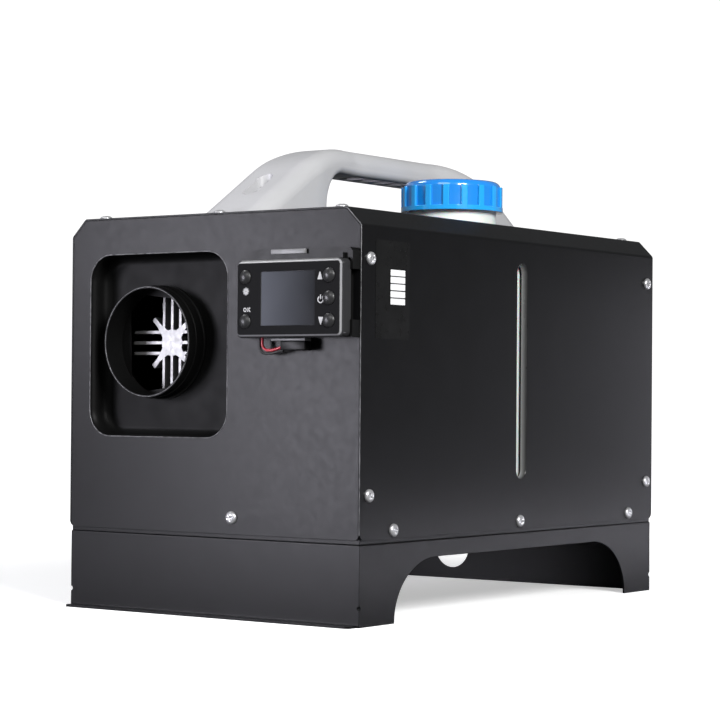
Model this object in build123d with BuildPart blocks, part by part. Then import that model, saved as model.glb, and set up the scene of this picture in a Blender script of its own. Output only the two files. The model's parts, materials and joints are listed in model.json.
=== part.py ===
"""Diesel air heater in a portable steel box, with its tank, controller and carry handle.

Frame, in millimetres: +X to the right of the front panel, -Y out of the front panel, +Z up.
The origin lies on the floor under the middle of the whole object.
"""

from build123d import *
import math
import os

os.makedirs("parts", exist_ok=True)

# ---------------------------------------------------------------- steel box and stand
body_width = 245.0
body_depth = 380.0
body_top = 265.0
stand_height = 52.0
shadow_gap = 2.5
sheet = 1.2
edge_chamfer = 12.0
bend_radius = 3.0
cover_corner_radius = 4.5
panel_corner_radius = 3.0
panel_flange_depth = 18.0
seat_gap = 0.1

stand_inset = 0.8
stand_sheet = 1.5
stand_flange = 16.0
stand_bend_radius = 1.0
arch_span = 301.0
arch_height = 40.5
arch_corner_width = 47.0
lip_reach = 9.0
lip_end_inset = 2.0
relief_height = 12.0
relief_radius = 1.6
pipe_hole_radius = 16.0
pipe_hole_offset = 2.1
pipe_hole_height = 24.7

tray_flange_height = 20.0
flange_gap = 1.0

# ---------------------------------------------------------------- screws
screw_shank_radius = 1.9
screw_hole_radius = 2.1
screw_head_radius = 4.25
screw_head_height = 2.5
screw_length = 6.0
edge_screw_inset = 9.2
top_screw_inset = 22.5
side_screw_rise = 28.1
side_screw_drop = 33.0
foot_screw_spread = 153.5
foot_screw_rise = 7.8
front_screw_offset = 13.0
front_screw_rise = 13.4

# ---------------------------------------------------------------- warm air outlet and heater
opening_left_margin = 17.5
opening_right_margin = 7.9
opening_height = 122.2
opening_drop = 25.5
opening_radius = 17.5
opening_rounding = 0.5

casing_drop = 23.3
casing_wall_gap = 8.9
casing_divider_gap = 3.4
casing_height = 122.0
casing_length = 300.0
casing_wall = 2.0
casing_top_radius = 26.0
casing_bottom_radius = 14.0
hood_setback = 16.5
hood_length = 38.0
hood_front_fillet = 9.0

collar_radius = 37.5
collar_wall = 1.6
collar_flange_radius = 39.0
collar_flange_thickness = 1.2

star_setback = 26.5
star_hub_radius = 9.0
star_spike_radius = 23.0
star_spike_width = 3.2
star_web_fillet = 2.0
star_depth = 26.0
fin_pitch = 7.2
fin_group_count = 3
fin_thickness = 2.0
fin_slope_radius = 34.0
fin_side_gap = 4.5
fin_wall_gap = 3.0
chamber_radius = 31.0
chamber_wall = 3.0
exchanger_length = 136.0

foot_width = 72.0
foot_thickness = 8.0
port_boss_radius = 15.0
stub_wall = 1.0
exhaust_radius = 12.0
exhaust_setback = 86.0
air_stub_radius = 12.5
air_stub_wall = 1.5
stub_end_height = 34.0
stub_free_length = 16.0
stub_step = 0.8
stub_hole_clearance = 1.5

stud_radius = 3.0
stud_spread_x = 56.0
stud_first_setback = 69.0
stud_last_setback = 136.0
stud_reach = 13.0
stud_clearance = 0.4
nut_height = 5.0
nut_across_flats = 10.0

burner_radius = 24.0
burner_wall = 1.5
burner_length = 96.0
burner_vent_radius = 2.0

housing_radius = 46.0
housing_length = 34.0
impeller_pocket_radius = 35.0
impeller_pocket_depth = 12.0
shaft_radius = 2.5
shaft_clearance = 0.05
shaft_passage_radius = 4.0
plug_radius = 2.5
plug_hex = 10.0
plug_length = 26.0

motor_flange_thickness = 4.0
motor_radius = 26.0
motor_length = 54.0
impeller_radius = 31.0
impeller_vane_count = 14
impeller_thickness = 8.0
blower_tip_gap = 5.5
blower_hub_radius = 20.0
blower_length = 24.0
blower_blade_count = 9
blower_gap = 12.0
blade_pitch_angle = 38.0
blade_thickness = 2.0

end_cap_length = 12.0
grille_bar = 2.2
grille_ring_pitch = 9.0

gasket_thickness = 2.0
bracket_sheet = 2.0
bracket_width = 96.0
bracket_length = 154.0
bracket_first_setback = 52.0
bracket_foot = 14.0

board_drop = 25.0
board_thickness = 1.6
board_length = 56.0
board_gap = 2.0
board_slot_clearance = 0.3

# ---------------------------------------------------------------- rear panel
rear_grille_radius = 47.0
rear_opening_radius = 42.0
rear_grille_thickness = 3.0
rear_grille_hub_radius = 6.0
rear_grille_ring_pitch = 7.2
grommet_side_inset = 27.5
grommet_rise = 37.5
grommet_radius = 8.0
grommet_groove = 1.6

# ---------------------------------------------------------------- fuel side
divider_x = 6.6
divider_foot = 9.0
divider_top_gap = 8.0

tank_divider_gap = 6.3
tank_side_gap = 5.8
tank_length = 240.0
tank_top_gap = 6.0
tank_floor_gap = 0.3
tank_wall = 2.5
tank_corner_radius = 12.0
neck_radius = 31.0
neck_wall = 3.0
neck_flange_reach = 2.5
neck_flange_thickness = 2.0
neck_rise = 28.0
neck_hole_clearance = 1.5

cap_radius = 36.0
cap_lift = 10.5
cap_height = 21.5
cap_ring_height = 3.2
cap_crown_fillet = 4.5
cap_rib_count = 17
cap_rib_reach = 1.8
cap_rib_width = 4.8
cap_rib_drop = 4.0
cap_neck_clearance = 0.5
liner_thickness = 1.8
liner_clearance = 0.2

slot_width = 13.4
slot_rise = 34.1
slot_drop = 26.7
slot_offset = 1.5
slot_hem_depth = 4.5
slot_hem_thickness = 1.0

strap_width = 14.0
strap_thickness = 1.0
strap_edge_gap = 3.0
strap_foot = 12.0
strap_tank_gap = 0.3

hose_radius = 2.5
hose_bend = 15.0
hose_hole_clearance = 1.5
pickup_edge_gap = 11.0
pickup_rise = 14.8
pickup_flange_radius = 9.0
pickup_barb_length = 14.0
filter_radius = 12.0
filter_length = 30.0
nipple_length = 6.0
pump_radius = 15.0
pump_length = 80.0
pump_nipple_length = 8.0
pump_wall_gap = 4.0
pump_rise = 64.8
clamp_width = 16.0
clamp_thickness = 3.0
clamp_clearance = 0.1
hose_crossing_gap = 12.0
fuel_port_offset = 34.9
fuel_port_height = 46.0

# ---------------------------------------------------------------- carry handle
handle_rise = 53.0
handle_toe_inset = 14.5
handle_slope_angle = 32.8
handle_shoulder_radius = 120.0
handle_leg_length = 82.5
leg_half_width = 26.0
grip_half_width = 17.0
grip_depth = 18.0
grip_length = 100.0
grip_flare_length = 52.0
grip_flare_radius = 60.0
grip_bend_radius = 25.0
handle_outer_fillet = 11.0
handle_inner_fillet = 5.0
rib_pocket_count = 5
rib_pocket_pitch = 17.0
rib_pocket_length = 14.0
rib_pocket_width = 21.0
rib_pocket_depth = 8.0
rib_pocket_fillet = 3.0
handle_bolt_setback = 35.5
handle_bolt_recess_length = 25.0
handle_bolt_recess_width = 12.0
handle_bolt_seat_rise = 12.0
handle_bolt_head_radius = 4.6
handle_bolt_head_height = 3.2
handle_bolt_radius = 2.5
handle_bolt_clearance = 0.3
handle_bolt_grip = 10.0
handle_nut_across_flats = 8.0
handle_nut_height = 4.0

# ---------------------------------------------------------------- controller
case_width = 85.0
case_height = 49.6
case_side_margin = 3.0
case_drop = 33.4
case_standoff = 17.0
case_front_depth = 9.5
case_wall = 2.0
case_corner_radius = 4.0
case_bevel = 2.2
board_rim = 1.5

screen_width = 43.0
screen_height = 34.5
screen_recess = 0.4
lens_thickness = 1.0
lens_clearance = 0.1
display_border = 1.2

button_radius = 4.5
button_rise = 2.5
button_skirt = 0.5
button_clearance = 0.3
button_flange = 0.9
button_flange_thickness = 0.8
button_stem_radius = 2.6
button_stem_length = 4.6
button_travel = 0.8
button_rest_gap = 0.1
switch_side = 4.4
switch_height = 1.0
circuit_thickness = 1.2
left_buttons_offset = -34.0
right_buttons_offset = 32.5
button_top_offset = 13.9
button_middle_offset = -0.3
button_bottom_offset = -14.4

back_taper_angle = 38.0
holder_sheet = 3.0
holder_top_rise = 6.9
holder_clip_thickness = 1.8
holder_clip_depth = 8.5
holder_upper_clip_height = 13.8
holder_lower_clip_height = 11.0
holder_clearance = 0.2
holder_ledge_height = 3.2
holder_ledge_depth = 11.0
latch_width = 27.5
latch_offset = -5.0
latch_depth = 10.8
latch_chamfer = 1.4
lower_latch_height = 3.6
lower_latch_depth = 10.0
plug_block_length = 20.0
plug_block_offset = 4.0
plug_block_height = 4.2
plug_block_depth = 7.0

lead_radius = 0.9
lead_spacing = 2.0
lead_exit_offset = -30.0
lead_drop = 9.8
lead_bend = 4.5
lead_rise_length = 9.0
lead_rise = 1.6
lead_tail = 2.0

# ---------------------------------------------------------------- placed from the sizes above
rear_reach = max(rear_grille_thickness, screw_head_height)
body_mid_y = (case_standoff + button_rise - rear_reach) / 2
front_y = body_mid_y - body_depth / 2
rear_y = body_mid_y + body_depth / 2
cover_bottom = stand_height + shadow_gap
inner_half_width = body_width / 2 - sheet
inner_top = body_top - sheet
tray_floor = stand_height + sheet
flange_bottom = stand_height + tray_flange_height + flange_gap
stand_width = body_width - 2 * stand_inset
stand_depth = body_depth - 2 * stand_inset

casing_left = casing_wall_gap - inner_half_width
casing_right = divider_x - sheet / 2 - casing_divider_gap
casing_width = casing_right - casing_left
axis_x = (casing_left + casing_right) / 2
axis_z = body_top - casing_drop - casing_height / 2
opening_left = opening_left_margin - body_width / 2
opening_right = divider_x + opening_right_margin
opening_width = opening_right - opening_left
opening_x = (opening_left + opening_right) / 2
opening_z = body_top - opening_drop - opening_height / 2
hood_y = front_y + hood_setback
casing_bottom = axis_z - casing_height / 2
casing_floor = casing_bottom + casing_wall
star_y = front_y + star_setback
exchanger_end_y = star_y + exchanger_length
housing_end_y = exchanger_end_y + housing_length
motor_end_y = housing_end_y + motor_flange_thickness + motor_length
casing_end_y = hood_y + casing_length
blower_y = motor_end_y + blower_gap
blower_radius = casing_width / 2 - casing_wall - blower_tip_gap

tank_left = divider_x + sheet / 2 + tank_divider_gap
tank_right = inner_half_width - tank_side_gap
tank_width = tank_right - tank_left
cap_x = (tank_left + tank_right) / 2
tank_bottom = tray_floor + tank_floor_gap
tank_top = inner_top - tank_top_gap
tank_rear_y = body_mid_y + tank_length / 2
neck_height = body_top + neck_rise
cap_bottom = body_top + cap_lift
cap_top = cap_bottom + cap_height
face_y = front_y - case_standoff
case_x = body_width / 2 - case_side_margin - case_width / 2
case_top = body_top - case_drop
case_z = case_top - case_height / 2
case_bottom = case_z - case_height / 2
fuel_port_x = axis_x + fuel_port_offset
fuel_port_y = exchanger_end_y + housing_length / 2
board_y = housing_end_y + motor_flange_thickness + board_gap


# ---------------------------------------------------------------- planes and shared shapes
def across(y):
    """Upright plane seen from the front: local x is +X, local y is +Z, the normal is -Y."""
    return Plane(origin=(0, y, 0), x_dir=(1, 0, 0), z_dir=(0, -1, 0))


def along(x):
    """Upright plane seen from the right: local x is +Y, local y is +Z, the normal is +X."""
    return Plane(origin=(x, 0, 0), x_dir=(0, 1, 0), z_dir=(1, 0, 0))


def level(z):
    """Level plane at height z."""
    return Plane.XY.offset(z)


def seat(x, y, z, direction):
    """Place of a fastener: its head faces the given direction."""
    return Plane(origin=(x, y, z), z_dir=direction).location


def save(piece, label):
    """Name a finished piece and write it."""
    piece.part.label = label
    export_step(piece.part, f"parts/{label}.step")


def body_outline(plane, inset, bottom):
    """Section of the steel box: upright sides, flat top and two sloping long edges, with rounded bends."""
    half = body_width / 2 - inset
    top = body_top - inset
    leg = edge_chamfer - inset * (2 - math.sqrt(2))
    with BuildSketch(plane) as section:
        with BuildLine():
            Polyline(
                (-half, bottom),
                (half, bottom),
                (half, top - leg),
                (half - leg, top),
                (leg - half, top),
                (-half, top - leg),
                close=True,
            )
        make_face()
        bends = section.vertices().filter_by(lambda corner: plane.to_local_coords(corner).Y > bottom + leg)
        fillet(bends, bend_radius - inset)
    return section.sketch


def casing_outline(plane, inset):
    """Section of the heater casing round the fan axis, with wide upper corners."""
    with BuildSketch(plane) as section:
        with Locations((axis_x, axis_z)):
            Rectangle(casing_width - 2 * inset, casing_height - 2 * inset)
        corners = section.vertices().group_by(Axis.Y)
        fillet(corners[-1], casing_top_radius - inset)
        fillet(corners[0], casing_bottom_radius - inset)
    return section.sketch


def disc(plane, x, z, radius):
    """Circle on an upright plane."""
    with BuildSketch(plane) as section:
        with Locations((x, z)):
            Circle(radius)
    return section.sketch


def rod(x, y, z, radius, length, mode=Mode.ADD):
    """Round bar that stands on the point and runs up along +Z."""
    with Locations((x, y, z)):
        Cylinder(radius, length, align=(Align.CENTER, Align.CENTER, Align.MIN), mode=mode)


def drill(places, radius, depth):
    """Round holes through the sheet at each place."""
    with Locations(*places):
        Cylinder(radius, 2 * depth, mode=Mode.SUBTRACT)


def hose(points, radius, bends):
    """Round hose or wire along straight runs joined by tangent arcs."""
    with BuildPart() as piece:
        with BuildLine() as route:
            FilletPolyline(*points, radius=bends)
        start = route.line
        with BuildSketch(Plane(origin=start @ 0, z_dir=start % 0)):
            Circle(radius)
        sweep()
    return piece


# ---------------------------------------------------------------- fastener places
top_seats = [
    seat(x, y, body_top, (0, 0, 1))
    for x in (top_screw_inset - body_width / 2, 0, body_width / 2 - top_screw_inset)
    for y in (front_y + edge_screw_inset, rear_y - edge_screw_inset)
]
side_seats = [
    seat(side * body_width / 2, y, z, (side, 0, 0))
    for side in (-1, 1)
    for y in (front_y + edge_screw_inset, rear_y - edge_screw_inset)
    for z in (cover_bottom + side_screw_rise, body_top - side_screw_drop)
]
foot_screw_height = stand_height + foot_screw_rise
foot_seats = [
    seat(side * body_width / 2, body_mid_y + step * foot_screw_spread, foot_screw_height, (side, 0, 0))
    for side in (-1, 1)
    for step in (-1, 0, 1)
]
front_screw_x = divider_x + front_screw_offset
front_screw_height = stand_height + front_screw_rise
panel_seats = [
    seat(front_screw_x, front_y, front_screw_height, (0, -1, 0)),
    seat(front_screw_x, rear_y, front_screw_height, (0, 1, 0)),
]
sheet_stack = 3 * sheet

with BuildPart() as pan_head_screw:
    Cylinder(screw_shank_radius, screw_length, align=(Align.CENTER, Align.CENTER, Align.MAX))
    Cylinder(screw_head_radius, screw_head_height, align=(Align.CENTER, Align.CENTER, Align.MIN))
    head_rim = pan_head_screw.edges().filter_by(GeomType.CIRCLE).group_by(Axis.Z)[-1]
    fillet(head_rim, screw_head_height * 0.75)

with BuildPart() as cover_screws:
    with Locations(*top_seats, *side_seats, *foot_seats):
        add(pan_head_screw.part)
save(cover_screws, "cover_screws")

with BuildPart() as panel_screws:
    with Locations(*panel_seats):
        add(pan_head_screw.part)
save(panel_screws, "panel_screws")

# ---------------------------------------------------------------- stand
with BuildPart() as base_stand:
    with BuildSketch(level(0)):
        with Locations((0, body_mid_y)):
            Rectangle(stand_width, stand_depth)
    extrude(amount=stand_height)
    fillet(base_stand.faces().sort_by(Axis.Z)[-1].edges(), stand_bend_radius)
    with BuildSketch(level(0)):
        with Locations((0, body_mid_y)):
            Rectangle(stand_width - 2 * stand_sheet, stand_depth - 2 * stand_sheet)
    extrude(amount=stand_height - stand_sheet, mode=Mode.SUBTRACT)
    with BuildSketch(level(stand_height)):
        with Locations((0, body_mid_y)):
            RectangleRounded(stand_width - 2 * stand_flange, stand_depth - 2 * stand_flange, stand_flange / 2)
    extrude(amount=-2 * stand_sheet, mode=Mode.SUBTRACT)
    # long arches through both side walls
    arch_corner_y = arch_span / 2 - arch_corner_width
    with BuildSketch(along(0)):
        with Locations((body_mid_y, 0)):
            Rectangle(2 * arch_corner_y, 2 * arch_height)
            with Locations((-arch_corner_y, 0), (arch_corner_y, 0)):
                Ellipse(arch_corner_width, arch_height)
    extrude(amount=body_width, both=True, mode=Mode.SUBTRACT)
    # hole for the exhaust pipe in the rear wall
    extrude(
        disc(across(rear_y), axis_x - pipe_hole_offset, pipe_hole_height, pipe_hole_radius),
        amount=2 * stand_sheet,
        mode=Mode.SUBTRACT,
    )
    # lip turned forward along the foot of the front wall
    with BuildSketch(level(0)):
        with Locations((0, front_y + stand_inset + stand_sheet / 2)):
            Rectangle(
                stand_width - 2 * lip_end_inset,
                lip_reach + stand_sheet / 2,
                align=(Align.CENTER, Align.MAX),
            )
    extrude(amount=stand_sheet)
    lip_corners = base_stand.edges().filter_by(Axis.Z).group_by(Axis.Y)[0]
    fillet(lip_corners, lip_reach * 0.35)
    # small bend relief on the upright corners
    with Locations(
        *[
            (side * stand_width / 2, body_mid_y + end * stand_depth / 2, relief_height)
            for side in (-1, 1)
            for end in (-1, 1)
        ]
    ):
        Sphere(relief_radius, mode=Mode.SUBTRACT)
save(base_stand, "base_stand")

# ---------------------------------------------------------------- bottom tray
tray_half_width = inner_half_width - seat_gap
tray_depth = body_depth - 2 * (sheet + seat_gap)
exhaust_y = front_y + exhaust_setback
exhaust_hole_radius = exhaust_radius + stub_step + stub_hole_clearance
air_hole_radius = air_stub_radius + stub_step + stub_hole_clearance
air_y = exchanger_end_y + housing_length / 2
with BuildPart() as bottom_tray:
    with BuildSketch(level(stand_height)):
        with Locations((0, body_mid_y)):
            Rectangle(2 * tray_half_width, tray_depth)
    extrude(amount=tray_flange_height)
    with BuildSketch(level(tray_floor)):
        with Locations((0, body_mid_y)):
            Rectangle(2 * (tray_half_width - sheet), tray_depth - 2 * sheet)
    extrude(amount=tray_flange_height, mode=Mode.SUBTRACT)
    drill(foot_seats + panel_seats, screw_hole_radius, sheet_stack)
    rod(axis_x, exhaust_y, stand_height - sheet, exhaust_hole_radius, 3 * sheet, Mode.SUBTRACT)
    rod(axis_x, air_y, stand_height - sheet, air_hole_radius, 3 * sheet, Mode.SUBTRACT)
save(bottom_tray, "bottom_tray")

# ---------------------------------------------------------------- outer cover
slot_y = body_mid_y + slot_offset
slot_bottom = cover_bottom + slot_rise
slot_top = body_top - slot_drop
slot_z = (slot_bottom + slot_top) / 2
slot_length = slot_top - slot_bottom
handle_toe_reach = body_depth / 2 - handle_toe_inset
handle_bolt_reach = handle_toe_reach - handle_bolt_setback
handle_bolt_places = [(0, body_mid_y - handle_bolt_reach), (0, body_mid_y + handle_bolt_reach)]
with BuildPart() as outer_cover:
    extrude(body_outline(across(front_y), 0, cover_bottom), amount=-body_depth)
    fillet(outer_cover.edges().filter_by(Axis.X).group_by(Axis.Z)[0], cover_corner_radius)
    extrude(
        body_outline(across(front_y), sheet, cover_bottom - sheet),
        amount=-body_depth,
        mode=Mode.SUBTRACT,
    )
    # sight slot with its hem turned inwards
    with BuildSketch(along(inner_half_width)):
        with Locations((slot_y, slot_z)):
            SlotOverall(
                slot_length + 2 * slot_hem_thickness,
                slot_width + 2 * slot_hem_thickness,
                rotation=90,
            )
    extrude(amount=-slot_hem_depth)
    with BuildSketch(along(body_width / 2)):
        with Locations((slot_y, slot_z)):
            SlotOverall(slot_length, slot_width, rotation=90)
    extrude(amount=-(sheet + slot_hem_depth), mode=Mode.SUBTRACT)
    drill(top_seats + side_seats + foot_seats, screw_hole_radius, sheet_stack / 2)
    rod(cap_x, body_mid_y, inner_top - sheet, neck_radius + neck_hole_clearance, 3 * sheet, Mode.SUBTRACT)
    for x, y in handle_bolt_places:
        rod(x, y, inner_top - sheet, handle_bolt_radius + handle_bolt_clearance, 3 * sheet, Mode.SUBTRACT)
save(outer_cover, "outer_cover")


# ---------------------------------------------------------------- front and rear panels
def panel_pan(y, inward):
    """Panel inset between the edges of the cover, with a return flange at the sides and top."""
    inset = sheet + seat_gap
    extrude(body_outline(across(y), inset, cover_bottom), amount=-inward * sheet)
    extrude(body_outline(across(y), inset, flange_bottom), amount=-inward * panel_flange_depth)
    extrude(
        body_outline(across(y + inward * sheet), inset + sheet, cover_bottom - sheet),
        amount=-inward * panel_flange_depth,
        mode=Mode.SUBTRACT,
    )


with BuildPart() as front_panel:
    panel_pan(front_y, 1)
    fillet(front_panel.edges().filter_by(Axis.Y).group_by(Axis.Z)[0], panel_corner_radius)
    with BuildSketch(across(front_y)):
        with Locations((opening_x, opening_z)):
            RectangleRounded(opening_width, opening_height, opening_radius)
    extrude(amount=-2 * sheet, mode=Mode.SUBTRACT)
    opening_face = front_panel.faces().filter_by(Axis.Y).sort_by(Axis.Y)[0]
    fillet(opening_face.inner_wires()[0].edges(), opening_rounding)
    drill(top_seats + side_seats + panel_seats, screw_hole_radius, sheet_stack)
save(front_panel, "front_panel")

grommet_x = grommet_side_inset - body_width / 2
grommet_height = cover_bottom + grommet_rise
with BuildPart() as rear_panel:
    panel_pan(rear_y, -1)
    fillet(rear_panel.edges().filter_by(Axis.Y).group_by(Axis.Z)[0], panel_corner_radius)
    extrude(disc(across(rear_y), axis_x, axis_z, rear_opening_radius), amount=2 * sheet, mode=Mode.SUBTRACT)
    extrude(
        disc(across(rear_y), grommet_x, grommet_height, grommet_radius),
        amount=2 * sheet,
        mode=Mode.SUBTRACT,
    )
    drill(top_seats + side_seats + panel_seats, screw_hole_radius, sheet_stack)
save(rear_panel, "rear_panel")


def ring_grille(y, depth, outer_radius, inner_radius, hub_radius, ring_pitch, bar):
    """Round guard on the fan axis: hub, thin rings and eight spokes behind a rim."""
    with BuildSketch(across(y)) as guard:
        with Locations((axis_x, axis_z)):
            Circle(outer_radius)
            Circle(inner_radius, mode=Mode.SUBTRACT)
            ring_count = int((inner_radius - bar - hub_radius) / ring_pitch)
            for number in range(ring_count, 0, -1):
                Circle(hub_radius + number * ring_pitch + bar / 2)
                Circle(hub_radius + number * ring_pitch - bar / 2, mode=Mode.SUBTRACT)
            Circle(hub_radius)
            for turn in range(4):
                Rectangle(2 * inner_radius + bar, bar, rotation=45 * turn)
    return extrude(guard.sketch, amount=-depth)


with BuildPart() as rear_grille:
    ring_grille(
        rear_y,
        rear_grille_thickness,
        rear_grille_radius,
        rear_opening_radius - grille_bar,
        rear_grille_hub_radius,
        rear_grille_ring_pitch,
        grille_bar,
    )
    # spigot that sits in the panel's opening
    extrude(disc(across(rear_y), axis_x, axis_z, rear_opening_radius - seat_gap), amount=2 * sheet)
    extrude(
        disc(across(rear_y), axis_x, axis_z, rear_opening_radius - grille_bar),
        amount=2 * sheet,
        mode=Mode.SUBTRACT,
    )
save(rear_grille, "rear_grille")

with BuildPart() as cable_grommet:
    grommet_lip = grommet_radius + grommet_groove
    extrude(disc(across(rear_y), grommet_x, grommet_height, grommet_lip), amount=-grommet_groove)
    extrude(disc(across(rear_y), grommet_x, grommet_height, grommet_radius - seat_gap), amount=sheet)
    extrude(disc(across(rear_y - sheet), grommet_x, grommet_height, grommet_lip), amount=grommet_groove)
    extrude(
        disc(across(rear_y + grommet_groove), grommet_x, grommet_height, grommet_radius / 2),
        amount=sheet + 2 * grommet_groove,
        mode=Mode.SUBTRACT,
    )
save(cable_grommet, "cable_grommet")

# ---------------------------------------------------------------- heater hood, collar and casing
with BuildPart() as outlet_hood:
    extrude(casing_outline(across(hood_y), 0), amount=-hood_length)
    fillet(outlet_hood.faces().sort_by(Axis.Y)[0].edges(), hood_front_fillet)
    extrude(
        casing_outline(across(hood_y + casing_wall), casing_wall + hood_front_fillet / 4),
        amount=-hood_length,
        mode=Mode.SUBTRACT,
    )
    extrude(
        disc(across(hood_y), axis_x, axis_z, collar_radius - collar_wall),
        amount=-2 * casing_wall,
        mode=Mode.SUBTRACT,
    )
save(outlet_hood, "outlet_hood")

with BuildPart() as outlet_collar:
    extrude(disc(across(hood_y), axis_x, axis_z, collar_flange_radius), amount=collar_flange_thickness)
    extrude(disc(across(hood_y), axis_x, axis_z, collar_radius), amount=hood_setback)
    root_edge = outlet_collar.edges().filter_by(GeomType.CIRCLE).filter_by(
        lambda edge: abs(edge.radius - collar_radius) < 0.01
    )
    fillet(root_edge.sort_by(Axis.Y)[-1], collar_flange_thickness)
    extrude(
        disc(across(hood_y), axis_x, axis_z, collar_radius - collar_wall),
        amount=hood_setback,
        mode=Mode.SUBTRACT,
    )
save(outlet_collar, "outlet_collar")

shell_y = hood_y + hood_length
shell_end_y = casing_end_y - end_cap_length
with BuildPart() as lower_casing:
    extrude(casing_outline(across(shell_y), 0), amount=shell_y - shell_end_y)
    extrude(
        casing_outline(across(shell_y), casing_wall),
        amount=shell_y - shell_end_y,
        mode=Mode.SUBTRACT,
    )
    split(bisect_by=level(axis_z), keep=Keep.BOTTOM)
    rod(axis_x, exhaust_y, casing_bottom, exhaust_hole_radius, casing_wall, Mode.SUBTRACT)
    rod(axis_x, air_y, casing_bottom, air_hole_radius, casing_wall, Mode.SUBTRACT)
    for setback in (stud_first_setback, stud_last_setback):
        for side in (-1, 1):
            rod(
                axis_x + side * stud_spread_x / 2,
                front_y + setback,
                casing_bottom,
                stud_radius + stud_clearance,
                casing_wall,
                Mode.SUBTRACT,
            )
save(lower_casing, "lower_casing")

with BuildPart() as upper_casing:
    extrude(casing_outline(across(shell_y), 0), amount=shell_y - shell_end_y)
    extrude(
        casing_outline(across(shell_y), casing_wall),
        amount=shell_y - shell_end_y,
        mode=Mode.SUBTRACT,
    )
    split(bisect_by=level(axis_z + seat_gap), keep=Keep.TOP)
    rod(
        fuel_port_x,
        fuel_port_y,
        axis_z + casing_height / 3,
        hose_radius + hose_hole_clearance,
        casing_height,
        Mode.SUBTRACT,
    )
save(upper_casing, "upper_casing")

with BuildPart() as intake_end_cap:
    extrude(casing_outline(across(shell_end_y), 0), amount=-end_cap_length)
    fillet(intake_end_cap.faces().sort_by(Axis.Y)[-1].edges(), hood_front_fillet * 0.6)
    extrude(
        disc(across(shell_end_y), axis_x, axis_z, casing_width / 2 - 3 * casing_wall),
        amount=-end_cap_length,
        mode=Mode.SUBTRACT,
    )
    ring_grille(
        casing_end_y - 2 * casing_wall,
        casing_wall,
        casing_width / 2 - 2 * casing_wall,
        casing_width / 2 - 3 * casing_wall,
        blower_hub_radius / 2,
        grille_ring_pitch,
        grille_bar,
    )
save(intake_end_cap, "intake_end_cap")


# ---------------------------------------------------------------- heat exchanger
def fin_group(turn, reach, plane):
    """Parallel fins that run outwards from the hub in one of four directions."""
    with BuildSketch(plane) as group:
        for step in range(-(fin_group_count // 2), fin_group_count // 2 + 1):
            offset = step * fin_pitch
            start = abs(offset)
            middle = (start + reach) / 2
            angle = math.radians(turn)
            with Locations(
                (
                    axis_x + middle * math.cos(angle) - offset * math.sin(angle),
                    axis_z + middle * math.sin(angle) + offset * math.cos(angle),
                )
            ):
                Rectangle(reach - start, fin_thickness, rotation=turn)
    return group.sketch


def star_nose(plane):
    """Small hub with four narrow bars on the diagonals, joined to it by hollow corners."""
    with BuildSketch(plane) as star:
        with Locations((axis_x, axis_z)):
            Circle(star_hub_radius)
            for turn in (45, 135):
                Rectangle(2 * star_spike_radius, star_spike_width, rotation=turn)
        web_corners = star.vertices().filter_by(
            lambda corner: abs(corner.distance_to((axis_x, star_y, axis_z)) - star_hub_radius) < star_web_fillet / 4
        )
        fillet(web_corners, star_web_fillet)
    return star.sketch


fin_side_reach = casing_width / 2 - casing_wall - fin_side_gap
fin_top_reach = casing_height / 2 - casing_wall - fin_wall_gap
chamber_y = star_y + star_depth
with BuildPart() as heat_exchanger:
    for turn in (0, 90, 180, 270):
        reach = fin_side_reach if turn in (0, 180) else fin_top_reach
        extrude(fin_group(turn, reach, across(star_y)), amount=-exchanger_length)
    # fin ends that slope back outside the nose
    with BuildSketch(along(axis_x)):
        with BuildLine():
            slope_reach = casing_height
            Polyline(
                (star_y - fin_pitch, axis_z + fin_slope_radius),
                (star_y, axis_z + fin_slope_radius),
                (star_y + slope_reach, axis_z + fin_slope_radius + slope_reach),
                (star_y - fin_pitch, axis_z + fin_slope_radius + slope_reach),
                close=True,
            )
        make_face()
    revolve(axis=Axis((axis_x, star_y, axis_z), (0, 1, 0)), mode=Mode.SUBTRACT)
    extrude(star_nose(across(star_y)), amount=-(star_depth + chamber_wall))
    extrude(disc(across(chamber_y), axis_x, axis_z, chamber_radius), amount=chamber_y - exchanger_end_y)
    # foot with its exhaust boss
    with BuildSketch(level(casing_floor)):
        with Locations((axis_x, front_y + (stud_first_setback + stud_last_setback) / 2)):
            RectangleRounded(
                foot_width,
                stud_last_setback - stud_first_setback + foot_width - stud_spread_x,
                stud_radius * 2,
            )
    extrude(amount=foot_thickness)
    rod(axis_x, exhaust_y, casing_floor, port_boss_radius, axis_z - casing_floor)
    extrude(
        disc(across(chamber_y + chamber_wall), axis_x, axis_z, chamber_radius - chamber_wall),
        amount=chamber_y + chamber_wall - exchanger_end_y,
        mode=Mode.SUBTRACT,
    )
    rod(axis_x, exhaust_y, casing_floor, exhaust_radius - stub_wall, axis_z - casing_floor, Mode.SUBTRACT)
    for setback in (stud_first_setback, stud_last_setback):
        for side in (-1, 1):
            rod(
                axis_x + side * stud_spread_x / 2,
                front_y + setback,
                casing_floor - stud_reach,
                stud_radius,
                stud_reach,
            )
save(heat_exchanger, "heat_exchanger")

with BuildPart() as burner_tube:
    extrude(disc(across(exchanger_end_y), axis_x, axis_z, burner_radius), amount=burner_length)
    extrude(
        disc(across(exchanger_end_y), axis_x, axis_z, burner_radius - burner_wall),
        amount=burner_length,
        mode=Mode.SUBTRACT,
    )
    for row in (0.3, 0.5, 0.7):
        vent_y = exchanger_end_y - row * burner_length
        with Locations(Plane(origin=(axis_x, vent_y, axis_z), z_dir=(0, -1, 0))):
            with PolarLocations(burner_radius, 8):
                Cylinder(burner_vent_radius, 4 * burner_wall, rotation=(0, 90, 0), mode=Mode.SUBTRACT)
save(burner_tube, "burner_tube")

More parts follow.
